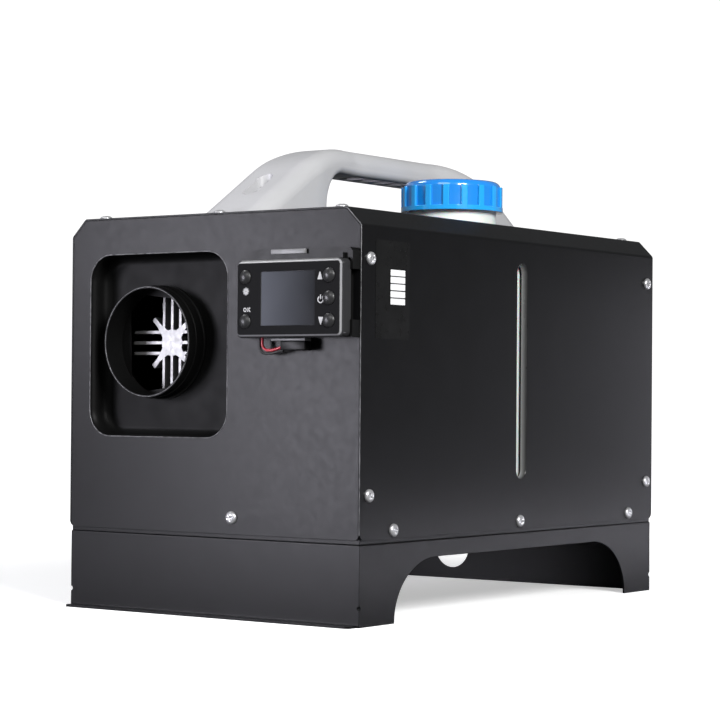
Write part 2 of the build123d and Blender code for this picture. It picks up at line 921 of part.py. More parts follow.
# ---------------------------------------------------------------- combustion-air housing and glow plug
plug_y = exchanger_end_y + (housing_length - impeller_pocket_depth) / 2
with BuildPart() as combustion_housing:
    extrude(disc(across(exchanger_end_y), axis_x, axis_z, housing_radius), amount=-housing_length)
    extrude(
        disc(across(housing_end_y - impeller_pocket_depth), axis_x, axis_z, impeller_pocket_radius),
        amount=-impeller_pocket_depth,
        mode=Mode.SUBTRACT,
    )
    extrude(
        disc(across(exchanger_end_y), axis_x, axis_z, shaft_passage_radius),
        amount=-housing_length,
        mode=Mode.SUBTRACT,
    )
    rod(axis_x, air_y, casing_floor, port_boss_radius, axis_z - housing_radius * 0.9 - casing_floor)
    rod(
        axis_x,
        air_y,
        casing_floor,
        air_stub_radius - air_stub_wall,
        axis_z - housing_radius * 0.7 - casing_floor,
        Mode.SUBTRACT,
    )
    rod(axis_x, plug_y, axis_z, plug_radius + seat_gap, housing_radius, Mode.SUBTRACT)
    rod(fuel_port_x, fuel_port_y, axis_z, port_boss_radius / 2, fuel_port_height - foot_thickness / 2)
save(combustion_housing, "combustion_housing")

with BuildPart() as glow_plug:
    rod(axis_x, plug_y, axis_z + housing_radius - plug_length, plug_radius, plug_length)
    with BuildSketch(level(axis_z + housing_radius)):
        with Locations((axis_x, plug_y)):
            RegularPolygon(plug_hex / 2, 6, major_radius=False)
    extrude(amount=plug_hex / 2)
save(glow_plug, "glow_plug")

# ---------------------------------------------------------------- fan motor and its rotor
with BuildPart() as fan_motor:
    extrude(disc(across(housing_end_y), axis_x, axis_z, housing_radius), amount=-motor_flange_thickness)
    extrude(
        disc(across(housing_end_y), axis_x, axis_z, motor_radius),
        amount=-(motor_flange_thickness + motor_length),
    )
    fillet(fan_motor.faces().sort_by(Axis.Y)[-1].edges(), motor_flange_thickness)
    extrude(
        disc(across(housing_end_y), axis_x, axis_z, shaft_radius + shaft_clearance),
        amount=-(motor_flange_thickness + motor_length),
        mode=Mode.SUBTRACT,
    )
save(fan_motor, "fan_motor")

impeller_y = housing_end_y - impeller_pocket_depth + (impeller_pocket_depth - impeller_thickness) / 2
blower_end_y = blower_y + blower_length
with BuildPart() as fan_shaft:
    extrude(disc(across(impeller_y), axis_x, axis_z, shaft_radius), amount=impeller_y - blower_end_y)
save(fan_shaft, "fan_shaft")

with BuildPart() as combustion_impeller:
    extrude(disc(across(impeller_y), axis_x, axis_z, impeller_radius), amount=-impeller_thickness / 4)
    extrude(disc(across(impeller_y), axis_x, axis_z, impeller_radius / 4), amount=-impeller_thickness)
    with BuildSketch(across(impeller_y)):
        with Locations((axis_x, axis_z)):
            with PolarLocations(impeller_radius * 0.68, impeller_vane_count):
                Rectangle(impeller_radius * 0.6, blade_thickness * 0.6, rotation=25)
    extrude(amount=-impeller_thickness)
    extrude(
        disc(across(impeller_y), axis_x, axis_z, shaft_radius),
        amount=-impeller_thickness,
        mode=Mode.SUBTRACT,
    )
save(combustion_impeller, "combustion_impeller")

with BuildPart() as blower_wheel:
    extrude(disc(across(blower_y), axis_x, axis_z, blower_hub_radius), amount=-blower_length)
    fillet(blower_wheel.faces().sort_by(Axis.Y)[-1].edges(), blower_length / 3)
    for number in range(blower_blade_count):
        turn = math.radians(360 / blower_blade_count * number)
        outward = Vector(math.cos(turn), 0, math.sin(turn))
        hub_centre = Vector(axis_x, blower_y + blower_length / 2, axis_z)
        root = Plane(
            origin=hub_centre + outward * (blower_hub_radius - blade_thickness),
            x_dir=(0, 1, 0),
            z_dir=outward,
        )
        tip = root.offset(blower_radius - blower_hub_radius + blade_thickness)
        with BuildSketch(root):
            Rectangle(blower_length * 0.8, blade_thickness, rotation=blade_pitch_angle)
        with BuildSketch(tip):
            Rectangle(blower_length, blade_thickness * 0.7, rotation=blade_pitch_angle * 0.75)
        loft()
    extrude(
        disc(across(blower_y), axis_x, axis_z, shaft_radius),
        amount=-blower_length,
        mode=Mode.SUBTRACT,
    )
save(blower_wheel, "blower_wheel")

# ---------------------------------------------------------------- control board inside the casing
board_half = casing_width / 2 - casing_wall - board_slot_clearance
board_z = casing_bottom + casing_height - board_drop
with BuildPart() as control_board:
    with BuildSketch(level(board_z)):
        with Locations((axis_x, board_y + board_length / 2)):
            Rectangle(2 * board_half, board_length)
    extrude(amount=board_thickness)
    for step in (-1, 0, 1):
        rod(
            axis_x + step * board_half / 2,
            board_y + board_length * 0.7,
            board_z + board_thickness,
            board_half / 9,
            board_half / 4,
        )
    with BuildSketch(level(board_z + board_thickness)):
        with Locations((axis_x, board_y + board_length * 0.25)):
            Rectangle(board_half, board_length * 0.25)
    extrude(amount=board_half / 8)
save(control_board, "control_board")

# ---------------------------------------------------------------- stubs, gasket, bracket and nuts
def stub(y, radius, wall):
    """Pipe stub under the heater: a free end for the hose below a wider part that goes up to the casting."""
    with BuildPart() as pipe:
        rod(axis_x, y, stub_end_height, radius, stub_free_length)
        rod(
            axis_x,
            y,
            stub_end_height + stub_free_length,
            radius + stub_step,
            casing_floor - stub_end_height - stub_free_length,
        )
        rod(axis_x, y, stub_end_height, radius - wall, casing_floor - stub_end_height, Mode.SUBTRACT)
    return pipe


save(stub(exhaust_y, exhaust_radius, stub_wall), "exhaust_stub")
save(stub(air_y, air_stub_radius, air_stub_wall), "combustion_air_stub")

bracket_mid_y = front_y + bracket_first_setback + bracket_length / 2
gasket_bottom = casing_bottom - gasket_thickness
bracket_bottom = gasket_bottom - bracket_sheet
stud_places = [
    (axis_x + side * stud_spread_x / 2, front_y + setback)
    for side in (-1, 1)
    for setback in (stud_first_setback, stud_last_setback)
]


def pierce_plate(bottom, thickness):
    """Holes for the studs and the two stubs, shared by the gasket and the bracket."""
    for x, y in stud_places:
        rod(x, y, bottom, stud_radius + stud_clearance, thickness, Mode.SUBTRACT)
    rod(axis_x, exhaust_y, bottom, exhaust_hole_radius, thickness, Mode.SUBTRACT)
    rod(axis_x, air_y, bottom, air_hole_radius, thickness, Mode.SUBTRACT)


with BuildPart() as heater_gasket:
    with BuildSketch(level(gasket_bottom)):
        with Locations((axis_x, bracket_mid_y)):
            RectangleRounded(foot_width + foot_thickness, bracket_length, foot_thickness)
    extrude(amount=gasket_thickness)
    pierce_plate(gasket_bottom, gasket_thickness)
save(heater_gasket, "heater_gasket")

with BuildPart() as heater_bracket:
    with BuildSketch(across(bracket_mid_y)):
        with BuildLine():
            half = bracket_width / 2
            foot_top = tray_floor + bracket_sheet
            Polyline(
                (axis_x - half - bracket_foot, tray_floor),
                (axis_x - half + bracket_sheet, tray_floor),
                (axis_x - half + bracket_sheet, bracket_bottom),
                (axis_x + half - bracket_sheet, bracket_bottom),
                (axis_x + half - bracket_sheet, foot_top),
                (axis_x + half - bracket_foot, foot_top),
                (axis_x + half - bracket_foot, tray_floor),
                (axis_x + half, tray_floor),
                (axis_x + half, gasket_bottom),
                (axis_x - half, gasket_bottom),
                (axis_x - half, foot_top),
                (axis_x - half - bracket_foot, foot_top),
                close=True,
            )
        make_face()
    extrude(amount=bracket_length / 2, both=True)
    pierce_plate(bracket_bottom, bracket_sheet)
save(heater_bracket, "heater_bracket")

with BuildPart() as heater_nuts:
    with BuildSketch(level(bracket_bottom)):
        with Locations(*stud_places):
            RegularPolygon(nut_across_flats / 2, 6, major_radius=False)
    extrude(amount=-nut_height)
    for x, y in stud_places:
        rod(x, y, bracket_bottom - nut_height, stud_radius + seat_gap, nut_height, Mode.SUBTRACT)
save(heater_nuts, "heater_nuts")

# ---------------------------------------------------------------- divider between heater and tank
hose_crossing_y = tank_rear_y + pickup_barb_length + hose_bend
divider_depth = body_depth - 2 * (panel_flange_depth + sheet)
hose_crossing_z = casing_bottom + casing_height + hose_crossing_gap
with BuildPart() as divider_plate:
    with BuildSketch(level(tray_floor)):
        with Locations((divider_x, body_mid_y)):
            Rectangle(sheet, divider_depth)
    extrude(amount=inner_top - divider_top_gap - tray_floor)
    with BuildSketch(level(tray_floor)):
        with Locations((divider_x - sheet / 2, body_mid_y)):
            Rectangle(divider_foot, divider_depth, align=(Align.MIN, Align.CENTER))
    extrude(amount=sheet / 4)
    # notch where the fuel line crosses over
    with BuildSketch(along(divider_x)):
        with Locations((hose_crossing_y, inner_top)):
            Rectangle(6 * hose_radius, 2 * (inner_top - hose_crossing_z + 2 * hose_radius))
    extrude(amount=sheet, both=True, mode=Mode.SUBTRACT)
save(divider_plate, "divider_plate")

# ---------------------------------------------------------------- fuel tank, cap and strap
pickup_x = tank_right - pickup_edge_gap
pickup_height = tray_floor + pickup_rise
with BuildPart() as fuel_tank:
    with BuildSketch(level(tank_bottom)):
        with Locations((cap_x, body_mid_y)):
            RectangleRounded(tank_width, tank_length, tank_corner_radius)
    extrude(amount=tank_top - tank_bottom)
    fillet(fuel_tank.faces().sort_by(Axis.Z)[-1].edges(), tank_corner_radius / 2)
    with BuildSketch(level(tank_bottom + tank_wall)):
        with Locations((cap_x, body_mid_y)):
            RectangleRounded(
                tank_width - 2 * tank_wall,
                tank_length - 2 * tank_wall,
                tank_corner_radius - tank_wall,
            )
    extrude(amount=tank_top - tank_bottom - 2 * tank_wall, mode=Mode.SUBTRACT)
    rod(cap_x, body_mid_y, tank_top - 2 * tank_wall, neck_radius - neck_wall, 2 * tank_wall, Mode.SUBTRACT)
    extrude(
        disc(across(tank_rear_y), pickup_x, pickup_height, hose_radius + seat_gap),
        amount=2 * tank_wall,
        mode=Mode.SUBTRACT,
    )
save(fuel_tank, "fuel_tank")

with BuildPart() as filler_neck:
    rod(cap_x, body_mid_y, tank_top, neck_radius + neck_flange_reach, neck_flange_thickness)
    rod(cap_x, body_mid_y, tank_top, neck_radius, neck_height - tank_top)
    rod(cap_x, body_mid_y, tank_top, neck_radius - neck_wall, neck_height - tank_top, Mode.SUBTRACT)
save(filler_neck, "filler_neck")

liner_radius = neck_radius - liner_clearance
with BuildPart() as cap_liner:
    rod(cap_x, body_mid_y, neck_height, liner_radius, liner_thickness)
save(cap_liner, "cap_liner")

cap_inner_top = neck_height + liner_thickness + liner_clearance
with BuildPart() as filler_cap:
    rod(cap_x, body_mid_y, cap_bottom, cap_radius - cap_rib_reach, cap_height)
    top_rim = filler_cap.edges().filter_by(GeomType.CIRCLE).group_by(Axis.Z)[-1]
    fillet(top_rim, cap_crown_fillet)
    rod(cap_x, body_mid_y, cap_bottom, cap_radius, cap_ring_height)
    with BuildSketch(level(cap_bottom)):
        with Locations((cap_x, body_mid_y)):
            with PolarLocations(cap_radius - cap_rib_reach, cap_rib_count):
                RectangleRounded(2 * cap_rib_reach, cap_rib_width, cap_rib_reach / 2)
    extrude(amount=cap_height - cap_rib_drop)
    rod(
        cap_x,
        body_mid_y,
        cap_bottom,
        neck_radius + cap_neck_clearance,
        cap_inner_top - cap_bottom,
        Mode.SUBTRACT,
    )
save(filler_cap, "filler_cap")

strap_x = tank_left + strap_edge_gap + strap_width / 2
strap_half = tank_length / 2 + strap_tank_gap
strap_top = tank_top + strap_tank_gap
with BuildPart() as tank_strap:
    with BuildSketch(along(strap_x)):
        with BuildLine():
            outer = strap_half + strap_thickness
            Polyline(
                (body_mid_y - outer - strap_foot, tray_floor),
                (body_mid_y - strap_half, tray_floor),
                (body_mid_y - strap_half, strap_top),
                (body_mid_y + strap_half, strap_top),
                (body_mid_y + strap_half, tray_floor),
                (body_mid_y + outer + strap_foot, tray_floor),
                (body_mid_y + outer + strap_foot, tray_floor + strap_thickness),
                (body_mid_y + outer, tray_floor + strap_thickness),
                (body_mid_y + outer, strap_top + strap_thickness),
                (body_mid_y - outer, strap_top + strap_thickness),
                (body_mid_y - outer, tray_floor + strap_thickness),
                (body_mid_y - outer - strap_foot, tray_floor + strap_thickness),
                close=True,
            )
        make_face()
    extrude(amount=strap_width / 2, both=True)
save(tank_strap, "tank_strap")

# ---------------------------------------------------------------- fuel pick-up, filter, pump and lines
with BuildPart() as pickup_fitting:
    extrude(disc(across(tank_rear_y), pickup_x, pickup_height, pickup_flange_radius), amount=-hose_radius)
    extrude(disc(across(tank_rear_y), pickup_x, pickup_height, hose_radius), amount=-pickup_barb_length)
    extrude(disc(across(tank_rear_y), pickup_x, pickup_height, hose_radius), amount=3 * tank_wall)
save(pickup_fitting, "pickup_fitting")

line_y = tank_rear_y + pickup_barb_length + hose_bend
filter_right_x = pickup_x - hose_bend - 3 * hose_radius
filter_left_x = filter_right_x - filter_length - 2 * nipple_length
pump_x = divider_x + sheet / 2 + pump_wall_gap + pump_radius
pump_bottom = tray_floor + pump_rise
pump_top = pump_bottom + pump_length
with BuildPart() as fuel_filter:
    with Locations(Plane(origin=(filter_right_x, line_y, pickup_height), z_dir=(-1, 0, 0))):
        Cylinder(
            hose_radius,
            filter_length + 2 * nipple_length,
            align=(Align.CENTER, Align.CENTER, Align.MIN),
        )
    with Locations(Plane(origin=(filter_right_x - nipple_length, line_y, pickup_height), z_dir=(-1, 0, 0))):
        Cylinder(filter_radius, filter_length, align=(Align.CENTER, Align.CENTER, Align.MIN))
    filter_rims = fuel_filter.edges().filter_by(GeomType.CIRCLE).filter_by(
        lambda edge: abs(edge.radius - filter_radius) < 0.01
    )
    fillet(filter_rims, filter_radius / 4)
save(fuel_filter, "fuel_filter")

with BuildPart() as fuel_pump:
    rod(pump_x, line_y, pump_bottom, pump_radius, pump_length)
    rod(pump_x, line_y, pump_bottom - pump_nipple_length, hose_radius, pump_length + 2 * pump_nipple_length)
    pump_rims = fuel_pump.edges().filter_by(GeomType.CIRCLE).filter_by(
        lambda edge: abs(edge.radius - pump_radius) < 0.01
    )
    fillet(pump_rims, pump_radius / 5)
save(fuel_pump, "fuel_pump")

with BuildPart() as pump_clamp:
    clamp_bottom = pump_bottom + (pump_length - clamp_width) / 2
    rod(pump_x, line_y, clamp_bottom, pump_radius + clamp_clearance + clamp_thickness, clamp_width)
    clamp_wall_x = divider_x + sheet / 2
    with BuildSketch(level(clamp_bottom)):
        with Locations((clamp_wall_x, line_y)):
            Rectangle(pump_x - clamp_wall_x, 2 * clamp_thickness, align=(Align.MIN, Align.CENTER))
    extrude(amount=clamp_width)
    rod(pump_x, line_y, clamp_bottom, pump_radius + clamp_clearance, clamp_width, Mode.SUBTRACT)
    split(bisect_by=along(clamp_wall_x), keep=Keep.TOP)
save(pump_clamp, "pump_clamp")

barb_end_y = tank_rear_y + pickup_barb_length
tank_line = hose(
    [
        (pickup_x, barb_end_y, pickup_height),
        (pickup_x, line_y, pickup_height),
        (filter_right_x, line_y, pickup_height),
    ],
    hose_radius,
    hose_bend * 0.98,
)
save(tank_line, "tank_line")

pump_line = hose(
    [
        (filter_left_x, line_y, pickup_height),
        (pump_x, line_y, pickup_height),
        (pump_x, line_y, pump_bottom - pump_nipple_length),
    ],
    hose_radius,
    min(hose_bend, (filter_left_x - pump_x) * 0.95),
)
save(pump_line, "pump_line")

port_top_z = axis_z + fuel_port_height - foot_thickness / 2
heater_line = hose(
    [
        (pump_x, line_y, pump_top + pump_nipple_length),
        (pump_x, line_y, hose_crossing_z),
        (fuel_port_x, line_y, hose_crossing_z),
        (fuel_port_x, fuel_port_y, hose_crossing_z),
        (fuel_port_x, fuel_port_y, port_top_z),
    ],
    hose_radius,
    hose_bend,
)
save(heater_line, "heater_line")

# ---------------------------------------------------------------- carry handle
handle_crown = body_top + handle_rise
handle_corner_reach = handle_toe_reach - handle_rise / math.tan(math.radians(handle_slope_angle))
handle_leg_inner_reach = handle_toe_reach - handle_leg_length
grip_underside = handle_crown - grip_depth
grip_flare_reach = grip_length / 2 + grip_flare_length
handle_bolt_seat_height = body_top + handle_bolt_seat_rise


def is_handle_rim(edge):
    """Edge between a side of the handle and its top or its inside, above the cover."""
    middle = edge.center()
    outside = abs(middle.X) > grip_half_width - seat_gap and middle.Z > body_top + seat_gap
    upright = abs(edge.tangent_at(0.5).Z) > 0.99
    on_inner_leg = abs(abs(middle.Y - body_mid_y) - handle_leg_inner_reach) < handle_inner_fillet / 2
    return outside and (not upright or on_inner_leg)


def is_inner_rim(edge):
    """Rim that bounds the opening for the fingers."""
    middle = edge.center()
    return (
        abs(middle.Y - body_mid_y) < handle_leg_inner_reach + seat_gap
        and middle.Z < grip_underside + seat_gap
    )


with BuildPart() as carry_handle:
    # side view: a level grip between two sloping legs
    with BuildSketch(along(0)):
        with BuildLine():
            back = FilletPolyline(
                (body_mid_y - handle_toe_reach, body_top),
                (body_mid_y - handle_corner_reach, handle_crown),
                (body_mid_y + handle_corner_reach, handle_crown),
                (body_mid_y + handle_toe_reach, body_top),
                radius=handle_shoulder_radius,
            )
            inside = FilletPolyline(
                (body_mid_y + handle_leg_inner_reach, body_top),
                (body_mid_y + handle_leg_inner_reach, grip_underside),
                (body_mid_y - handle_leg_inner_reach, grip_underside),
                (body_mid_y - handle_leg_inner_reach, body_top),
                radius=grip_bend_radius,
            )
            Line(back @ 1, inside @ 0)
            Line(inside @ 1, back @ 0)
        make_face()
    extrude(amount=leg_half_width, both=True)
    # plan view: the grip is narrower than the legs
    with BuildSketch(level(body_top)):
        with BuildLine():
            flank = FilletPolyline(
                (leg_half_width, body_mid_y - body_depth / 2),
                (leg_half_width, body_mid_y - grip_flare_reach),
                (grip_half_width, body_mid_y - grip_length / 2),
                (grip_half_width, body_mid_y + grip_length / 2),
                (leg_half_width, body_mid_y + grip_flare_reach),
                (leg_half_width, body_mid_y + body_depth / 2),
                radius=grip_flare_radius,
            )
            mirror(flank, about=Plane.YZ)
            Line(flank @ 0, (-leg_half_width, body_mid_y - body_depth / 2))
            Line(flank @ 1, (-leg_half_width, body_mid_y + body_depth / 2))
        make_face()
    extrude(amount=handle_rise, mode=Mode.INTERSECT)
    outer_rims = carry_handle.edges().filter_by(is_handle_rim).filter_by(is_inner_rim, reverse=True)
    fillet(outer_rims, handle_outer_fillet)
    fillet(carry_handle.edges().filter_by(is_handle_rim).filter_by(is_inner_rim), handle_inner_fillet)
    # hollow underside of the grip, stiffened by cross ribs
    with BuildSketch(level(grip_underside)):
        with Locations((0, body_mid_y)):
            with GridLocations(1, rib_pocket_pitch, 1, rib_pocket_count):
                RectangleRounded(rib_pocket_width, rib_pocket_length, rib_pocket_fillet)
    extrude(amount=rib_pocket_depth, mode=Mode.SUBTRACT)
    # oval recess and bolt hole in each leg
    with BuildSketch(level(handle_bolt_seat_height)):
        with Locations(*handle_bolt_places):
            SlotOverall(handle_bolt_recess_length, handle_bolt_recess_width, rotation=90)
    extrude(amount=handle_crown - handle_bolt_seat_height, mode=Mode.SUBTRACT)
    for x, y in handle_bolt_places:
        rod(
            x,
            y,
            body_top,
            handle_bolt_radius + handle_bolt_clearance,
            handle_bolt_seat_height - body_top,
            Mode.SUBTRACT,
        )
save(carry_handle, "carry_handle")

with BuildPart() as handle_bolts:
    bolt_end = inner_top - handle_bolt_grip
    for x, y in handle_bolt_places:
        rod(x, y, bolt_end, handle_bolt_radius, handle_bolt_seat_height - bolt_end)
        rod(x, y, handle_bolt_seat_height, handle_bolt_head_radius, handle_bolt_head_height)
    bolt_rims = handle_bolts.edges().filter_by(GeomType.CIRCLE).group_by(Axis.Z)[-1]
    fillet(bolt_rims, handle_bolt_head_height * 0.6)
save(handle_bolts, "handle_bolts")

with BuildPart() as handle_nuts:
    with BuildSketch(level(inner_top)):
        with Locations(*handle_bolt_places):
            RegularPolygon(handle_nut_across_flats / 2, 6, major_radius=False)
            Circle(handle_bolt_radius + seat_gap, mode=Mode.SUBTRACT)
    extrude(amount=-handle_nut_height)
save(handle_nuts, "handle_nuts")

# ---------------------------------------------------------------- controller case and its inside
left_buttons_x = case_x + left_buttons_offset
right_buttons_x = case_x + right_buttons_offset
button_top_z = case_z + button_top_offset
button_middle_z = case_z + button_middle_offset
button_bottom_z = case_z + button_bottom_offset
button_places = {
    "menu_button": (left_buttons_x, button_top_z),
    "ok_button": (left_buttons_x, button_bottom_z),
    "up_button": (right_buttons_x, button_top_z),
    "power_button": (right_buttons_x, button_middle_z),
    "down_button": (right_buttons_x, button_bottom_z),
}
case_depth = case_standoff - holder_sheet
switch_y = face_y + button_stem_length + button_travel + button_rest_gap
circuit_y = switch_y + switch_height
circuit_back_y = circuit_y + circuit_thickness


def case_outline(y, inset):
    """Rounded outline of the controller."""
    with BuildSketch(across(y)) as outline:
        with Locations((case_x, case_z)):
            RectangleRounded(
                case_width - 2 * inset,
                case_height - 2 * inset,
                case_corner_radius - inset * 0.8,
            )
    return outline.sketch


def screen_outline(y, margin):
    """Rectangle round the screen, larger by the margin on each side."""
    with BuildSketch(across(y)) as outline:
        with Locations((case_x, case_z)):
            Rectangle(screen_width + 2 * margin, screen_height + 2 * margin)
    return outline.sketch


with BuildPart() as controller_case:
    extrude(case_outline(face_y, 0), amount=-case_front_depth)
    chamfer(controller_case.faces().sort_by(Axis.Y)[0].edges(), case_bevel)
    extrude(case_outline(face_y + case_wall, case_wall), amount=-case_front_depth, mode=Mode.SUBTRACT)
    extrude(screen_outline(face_y, 0), amount=-(screen_recess + lens_thickness), mode=Mode.SUBTRACT)
    extrude(screen_outline(face_y, -display_border), amount=-case_wall, mode=Mode.SUBTRACT)
    for x, z in button_places.values():
        extrude(
            disc(across(face_y), x, z, button_radius + button_clearance),
            amount=-case_wall,
            mode=Mode.SUBTRACT,
        )
save(controller_case, "controller_case")

with BuildPart() as display_window:
    extrude(screen_outline(face_y + screen_recess, -lens_clearance), amount=-lens_thickness)
save(display_window, "display_window")

with BuildPart() as display_panel:
    extrude(screen_outline(face_y + case_wall, -display_border / 2), amount=face_y + case_wall - circuit_y)
save(display_panel, "display_panel")

with BuildPart() as controller_board:
    extrude(case_outline(circuit_y, case_wall + lens_clearance), amount=-circuit_thickness)
    with BuildSketch(across(circuit_y)):
        with Locations(*button_places.values()):
            Rectangle(switch_side, switch_side)
    extrude(amount=switch_height)
save(controller_board, "controller_board")

with BuildPart() as controller_back:
    extrude(
        case_outline(face_y + case_front_depth, 0),
        amount=case_front_depth - case_depth,
        taper=back_taper_angle,
    )
    extrude(
        case_outline(circuit_back_y, case_wall + lens_clearance),
        amount=circuit_back_y - face_y - case_depth + case_wall,
    )
    extrude(
        case_outline(circuit_back_y, case_wall + board_rim),
        amount=circuit_back_y - face_y - case_depth + case_wall,
        mode=Mode.SUBTRACT,
    )
save(controller_back, "controller_back")

for button_name, (x, z) in button_places.items():
    flange_front = case_wall + button_rest_gap
    flange_back = flange_front + button_flange_thickness
    with BuildPart() as button:
        with BuildSketch(Plane(origin=(x, face_y, z), x_dir=(1, 0, 0), z_dir=(0, 0, 1))):
            with BuildLine():
                dome = TangentArc((0, -button_rise), (button_radius, -button_skirt), tangent=(1, 0))
                Polyline(
                    dome @ 1,
                    (button_radius, flange_front),
                    (button_radius + button_flange, flange_front),
                    (button_radius + button_flange, flange_back),
                    (button_stem_radius, flange_back),
                    (button_stem_radius, button_stem_length),
                    (0, button_stem_length),
                    dome @ 0,
                )
            make_face()
        revolve(axis=Axis((x, face_y, z), (0, 1, 0)))
    save(button, button_name)

# ---------------------------------------------------------------- holder, lead and its connector
clip_inner = case_width / 2 + holder_clearance
clip_outer = clip_inner + holder_clip_thickness
back_inset = (case_depth - case_front_depth) * math.tan(math.radians(back_taper_angle))
plate_width = case_width - 2 * back_inset
plate_bottom = case_bottom + back_inset
holder_top = case_top + holder_top_rise
ledge_bottom = case_top + holder_clearance
ledge_top = ledge_bottom + holder_ledge_height
latch_x = case_x + latch_offset
tab_bottom = case_bottom - holder_clearance - lower_latch_height


def holder_bar(left, right, bottom, top, depth):
    """Upright block that stands out of the front panel."""
    with BuildSketch(across(front_y)) as section:
        with Locations(((left + right) / 2, (bottom + top) / 2)):
            Rectangle(right - left, top - bottom)
    extrude(section.sketch, amount=depth)


with BuildPart() as controller_holder:
    holder_bar(case_x - plate_width / 2, case_x + plate_width / 2, plate_bottom, holder_top, holder_sheet)
    # rail over the case, with the ledge that carries the latch
    holder_bar(case_x - clip_outer, case_x + clip_outer, ledge_bottom, holder_top, holder_clip_depth)
    fillet(
        controller_holder.edges().filter_by(Axis.Y).group_by(Axis.Z)[-1],
        case_corner_radius,
    )
    holder_bar(
        case_x - clip_inner + case_corner_radius,
        case_x + clip_inner - case_corner_radius,
        ledge_bottom,
        ledge_top,
        holder_ledge_depth,
    )
    # corner clips that wrap the sides of the case
    for bottom, top in (
        (case_bottom, case_bottom + holder_lower_clip_height),
        (holder_top - holder_upper_clip_height, ledge_bottom),
    ):
        holder_bar(case_x - clip_outer, case_x + clip_outer, bottom, top, holder_sheet)
        holder_bar(case_x - clip_outer, case_x - clip_inner, bottom, top, holder_clip_depth)
        holder_bar(case_x + clip_inner, case_x + clip_outer, bottom, top, holder_clip_depth)
    # tongue behind the lower latch
    holder_bar(
        latch_x - latch_width / 2,
        latch_x + latch_width / 2,
        tab_bottom,
        plate_bottom,
        holder_sheet,
    )
save(controller_holder, "controller_holder")

with BuildPart() as holder_latches:
    with BuildSketch(across(front_y - holder_clip_depth)):
        with Locations((latch_x, (ledge_top + holder_top) / 2)):
            Rectangle(latch_width, holder_top - ledge_top)
    extrude(amount=latch_depth - holder_clip_depth)
    latch_rim = holder_latches.edges().filter_by(Axis.X).group_by(Axis.Y)[0].sort_by(Axis.Z)[-1]
    chamfer(latch_rim, latch_chamfer)
    with BuildSketch(across(front_y - holder_sheet)):
        with Locations((latch_x, tab_bottom + lower_latch_height / 2)):
            Rectangle(latch_width, lower_latch_height)
    extrude(amount=lower_latch_depth - holder_sheet)
save(holder_latches, "holder_latches")

lead_y = front_y - lower_latch_depth + plug_block_depth / 2
plug_x = latch_x + plug_block_offset
with BuildPart() as lead_connector:
    with BuildSketch(level(tab_bottom)):
        with Locations((plug_x, lead_y)):
            Rectangle(plug_block_length, plug_block_depth)
    extrude(amount=-plug_block_height)
    connector_rims = lead_connector.edges().filter_by(Axis.X).group_by(Axis.Z)[0]
    fillet(connector_rims, plug_block_height / 4)
save(lead_connector, "lead_connector")

lead_exit_x = case_x + lead_exit_offset
plug_left_x = plug_x - plug_block_length / 2
lead_low = case_bottom - lead_drop
for lead_name, shift in (("black_lead", 0.0), ("red_lead", lead_spacing)):
    lead = hose(
        [
            (lead_exit_x + shift, lead_y, case_bottom),
            (lead_exit_x + shift, lead_y, lead_low + shift),
            (plug_left_x - lead_rise_length, lead_y, lead_low + shift),
            (plug_left_x - lead_tail, lead_y, lead_low + shift + lead_rise),
            (plug_left_x, lead_y, lead_low + shift + lead_rise),
        ],
        lead_radius,
        lead_bend,
    )
    save(lead, lead_name)
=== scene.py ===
"""Studio view of the diesel air heater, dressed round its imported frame."""

import json
import math

import bmesh
import bpy
from mathutils import Matrix, Vector


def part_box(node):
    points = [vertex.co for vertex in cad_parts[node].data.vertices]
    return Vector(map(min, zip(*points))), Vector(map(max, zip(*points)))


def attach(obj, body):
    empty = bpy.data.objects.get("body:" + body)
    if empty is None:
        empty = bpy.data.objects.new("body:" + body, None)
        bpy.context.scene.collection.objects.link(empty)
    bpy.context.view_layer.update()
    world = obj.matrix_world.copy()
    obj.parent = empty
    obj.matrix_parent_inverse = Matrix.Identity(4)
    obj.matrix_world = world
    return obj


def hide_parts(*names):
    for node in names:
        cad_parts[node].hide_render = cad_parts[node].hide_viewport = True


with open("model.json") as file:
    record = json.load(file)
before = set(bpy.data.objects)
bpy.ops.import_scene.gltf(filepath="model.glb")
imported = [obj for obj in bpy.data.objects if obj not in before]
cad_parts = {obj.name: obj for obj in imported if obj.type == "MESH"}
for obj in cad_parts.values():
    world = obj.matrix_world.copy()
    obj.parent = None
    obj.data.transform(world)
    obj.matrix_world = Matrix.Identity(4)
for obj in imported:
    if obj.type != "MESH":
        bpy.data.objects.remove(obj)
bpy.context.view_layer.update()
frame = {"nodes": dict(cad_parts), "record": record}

scene = bpy.context.scene
nodes = frame["nodes"]

MM = 0.001


# ---------------------------------------------------------------- camera
CAMERA_PLACE = Vector((0.9612, -1.35365, 0.1444))
CAMERA_YAW = math.radians(-35.62)
CAMERA_PITCH = math.radians(0.845)
CAMERA_ROLL = math.radians(0.457)
FOCAL_PIXELS = 2302.4
IMAGE_HEIGHT = 727
SENSOR = 36.0

ahead = Vector(
    (
        math.sin(CAMERA_YAW) * math.cos(CAMERA_PITCH),
        math.cos(CAMERA_YAW) * math.cos(CAMERA_PITCH),
        math.sin(CAMERA_PITCH),
    )
)
level_right = ahead.cross(Vector((0, 0, 1))).normalized()
level_up = level_right.cross(ahead)
right = math.cos(CAMERA_ROLL) * level_right + math.sin(CAMERA_ROLL) * level_up
up = math.cos(CAMERA_ROLL) * level_up - math.sin(CAMERA_ROLL) * level_right

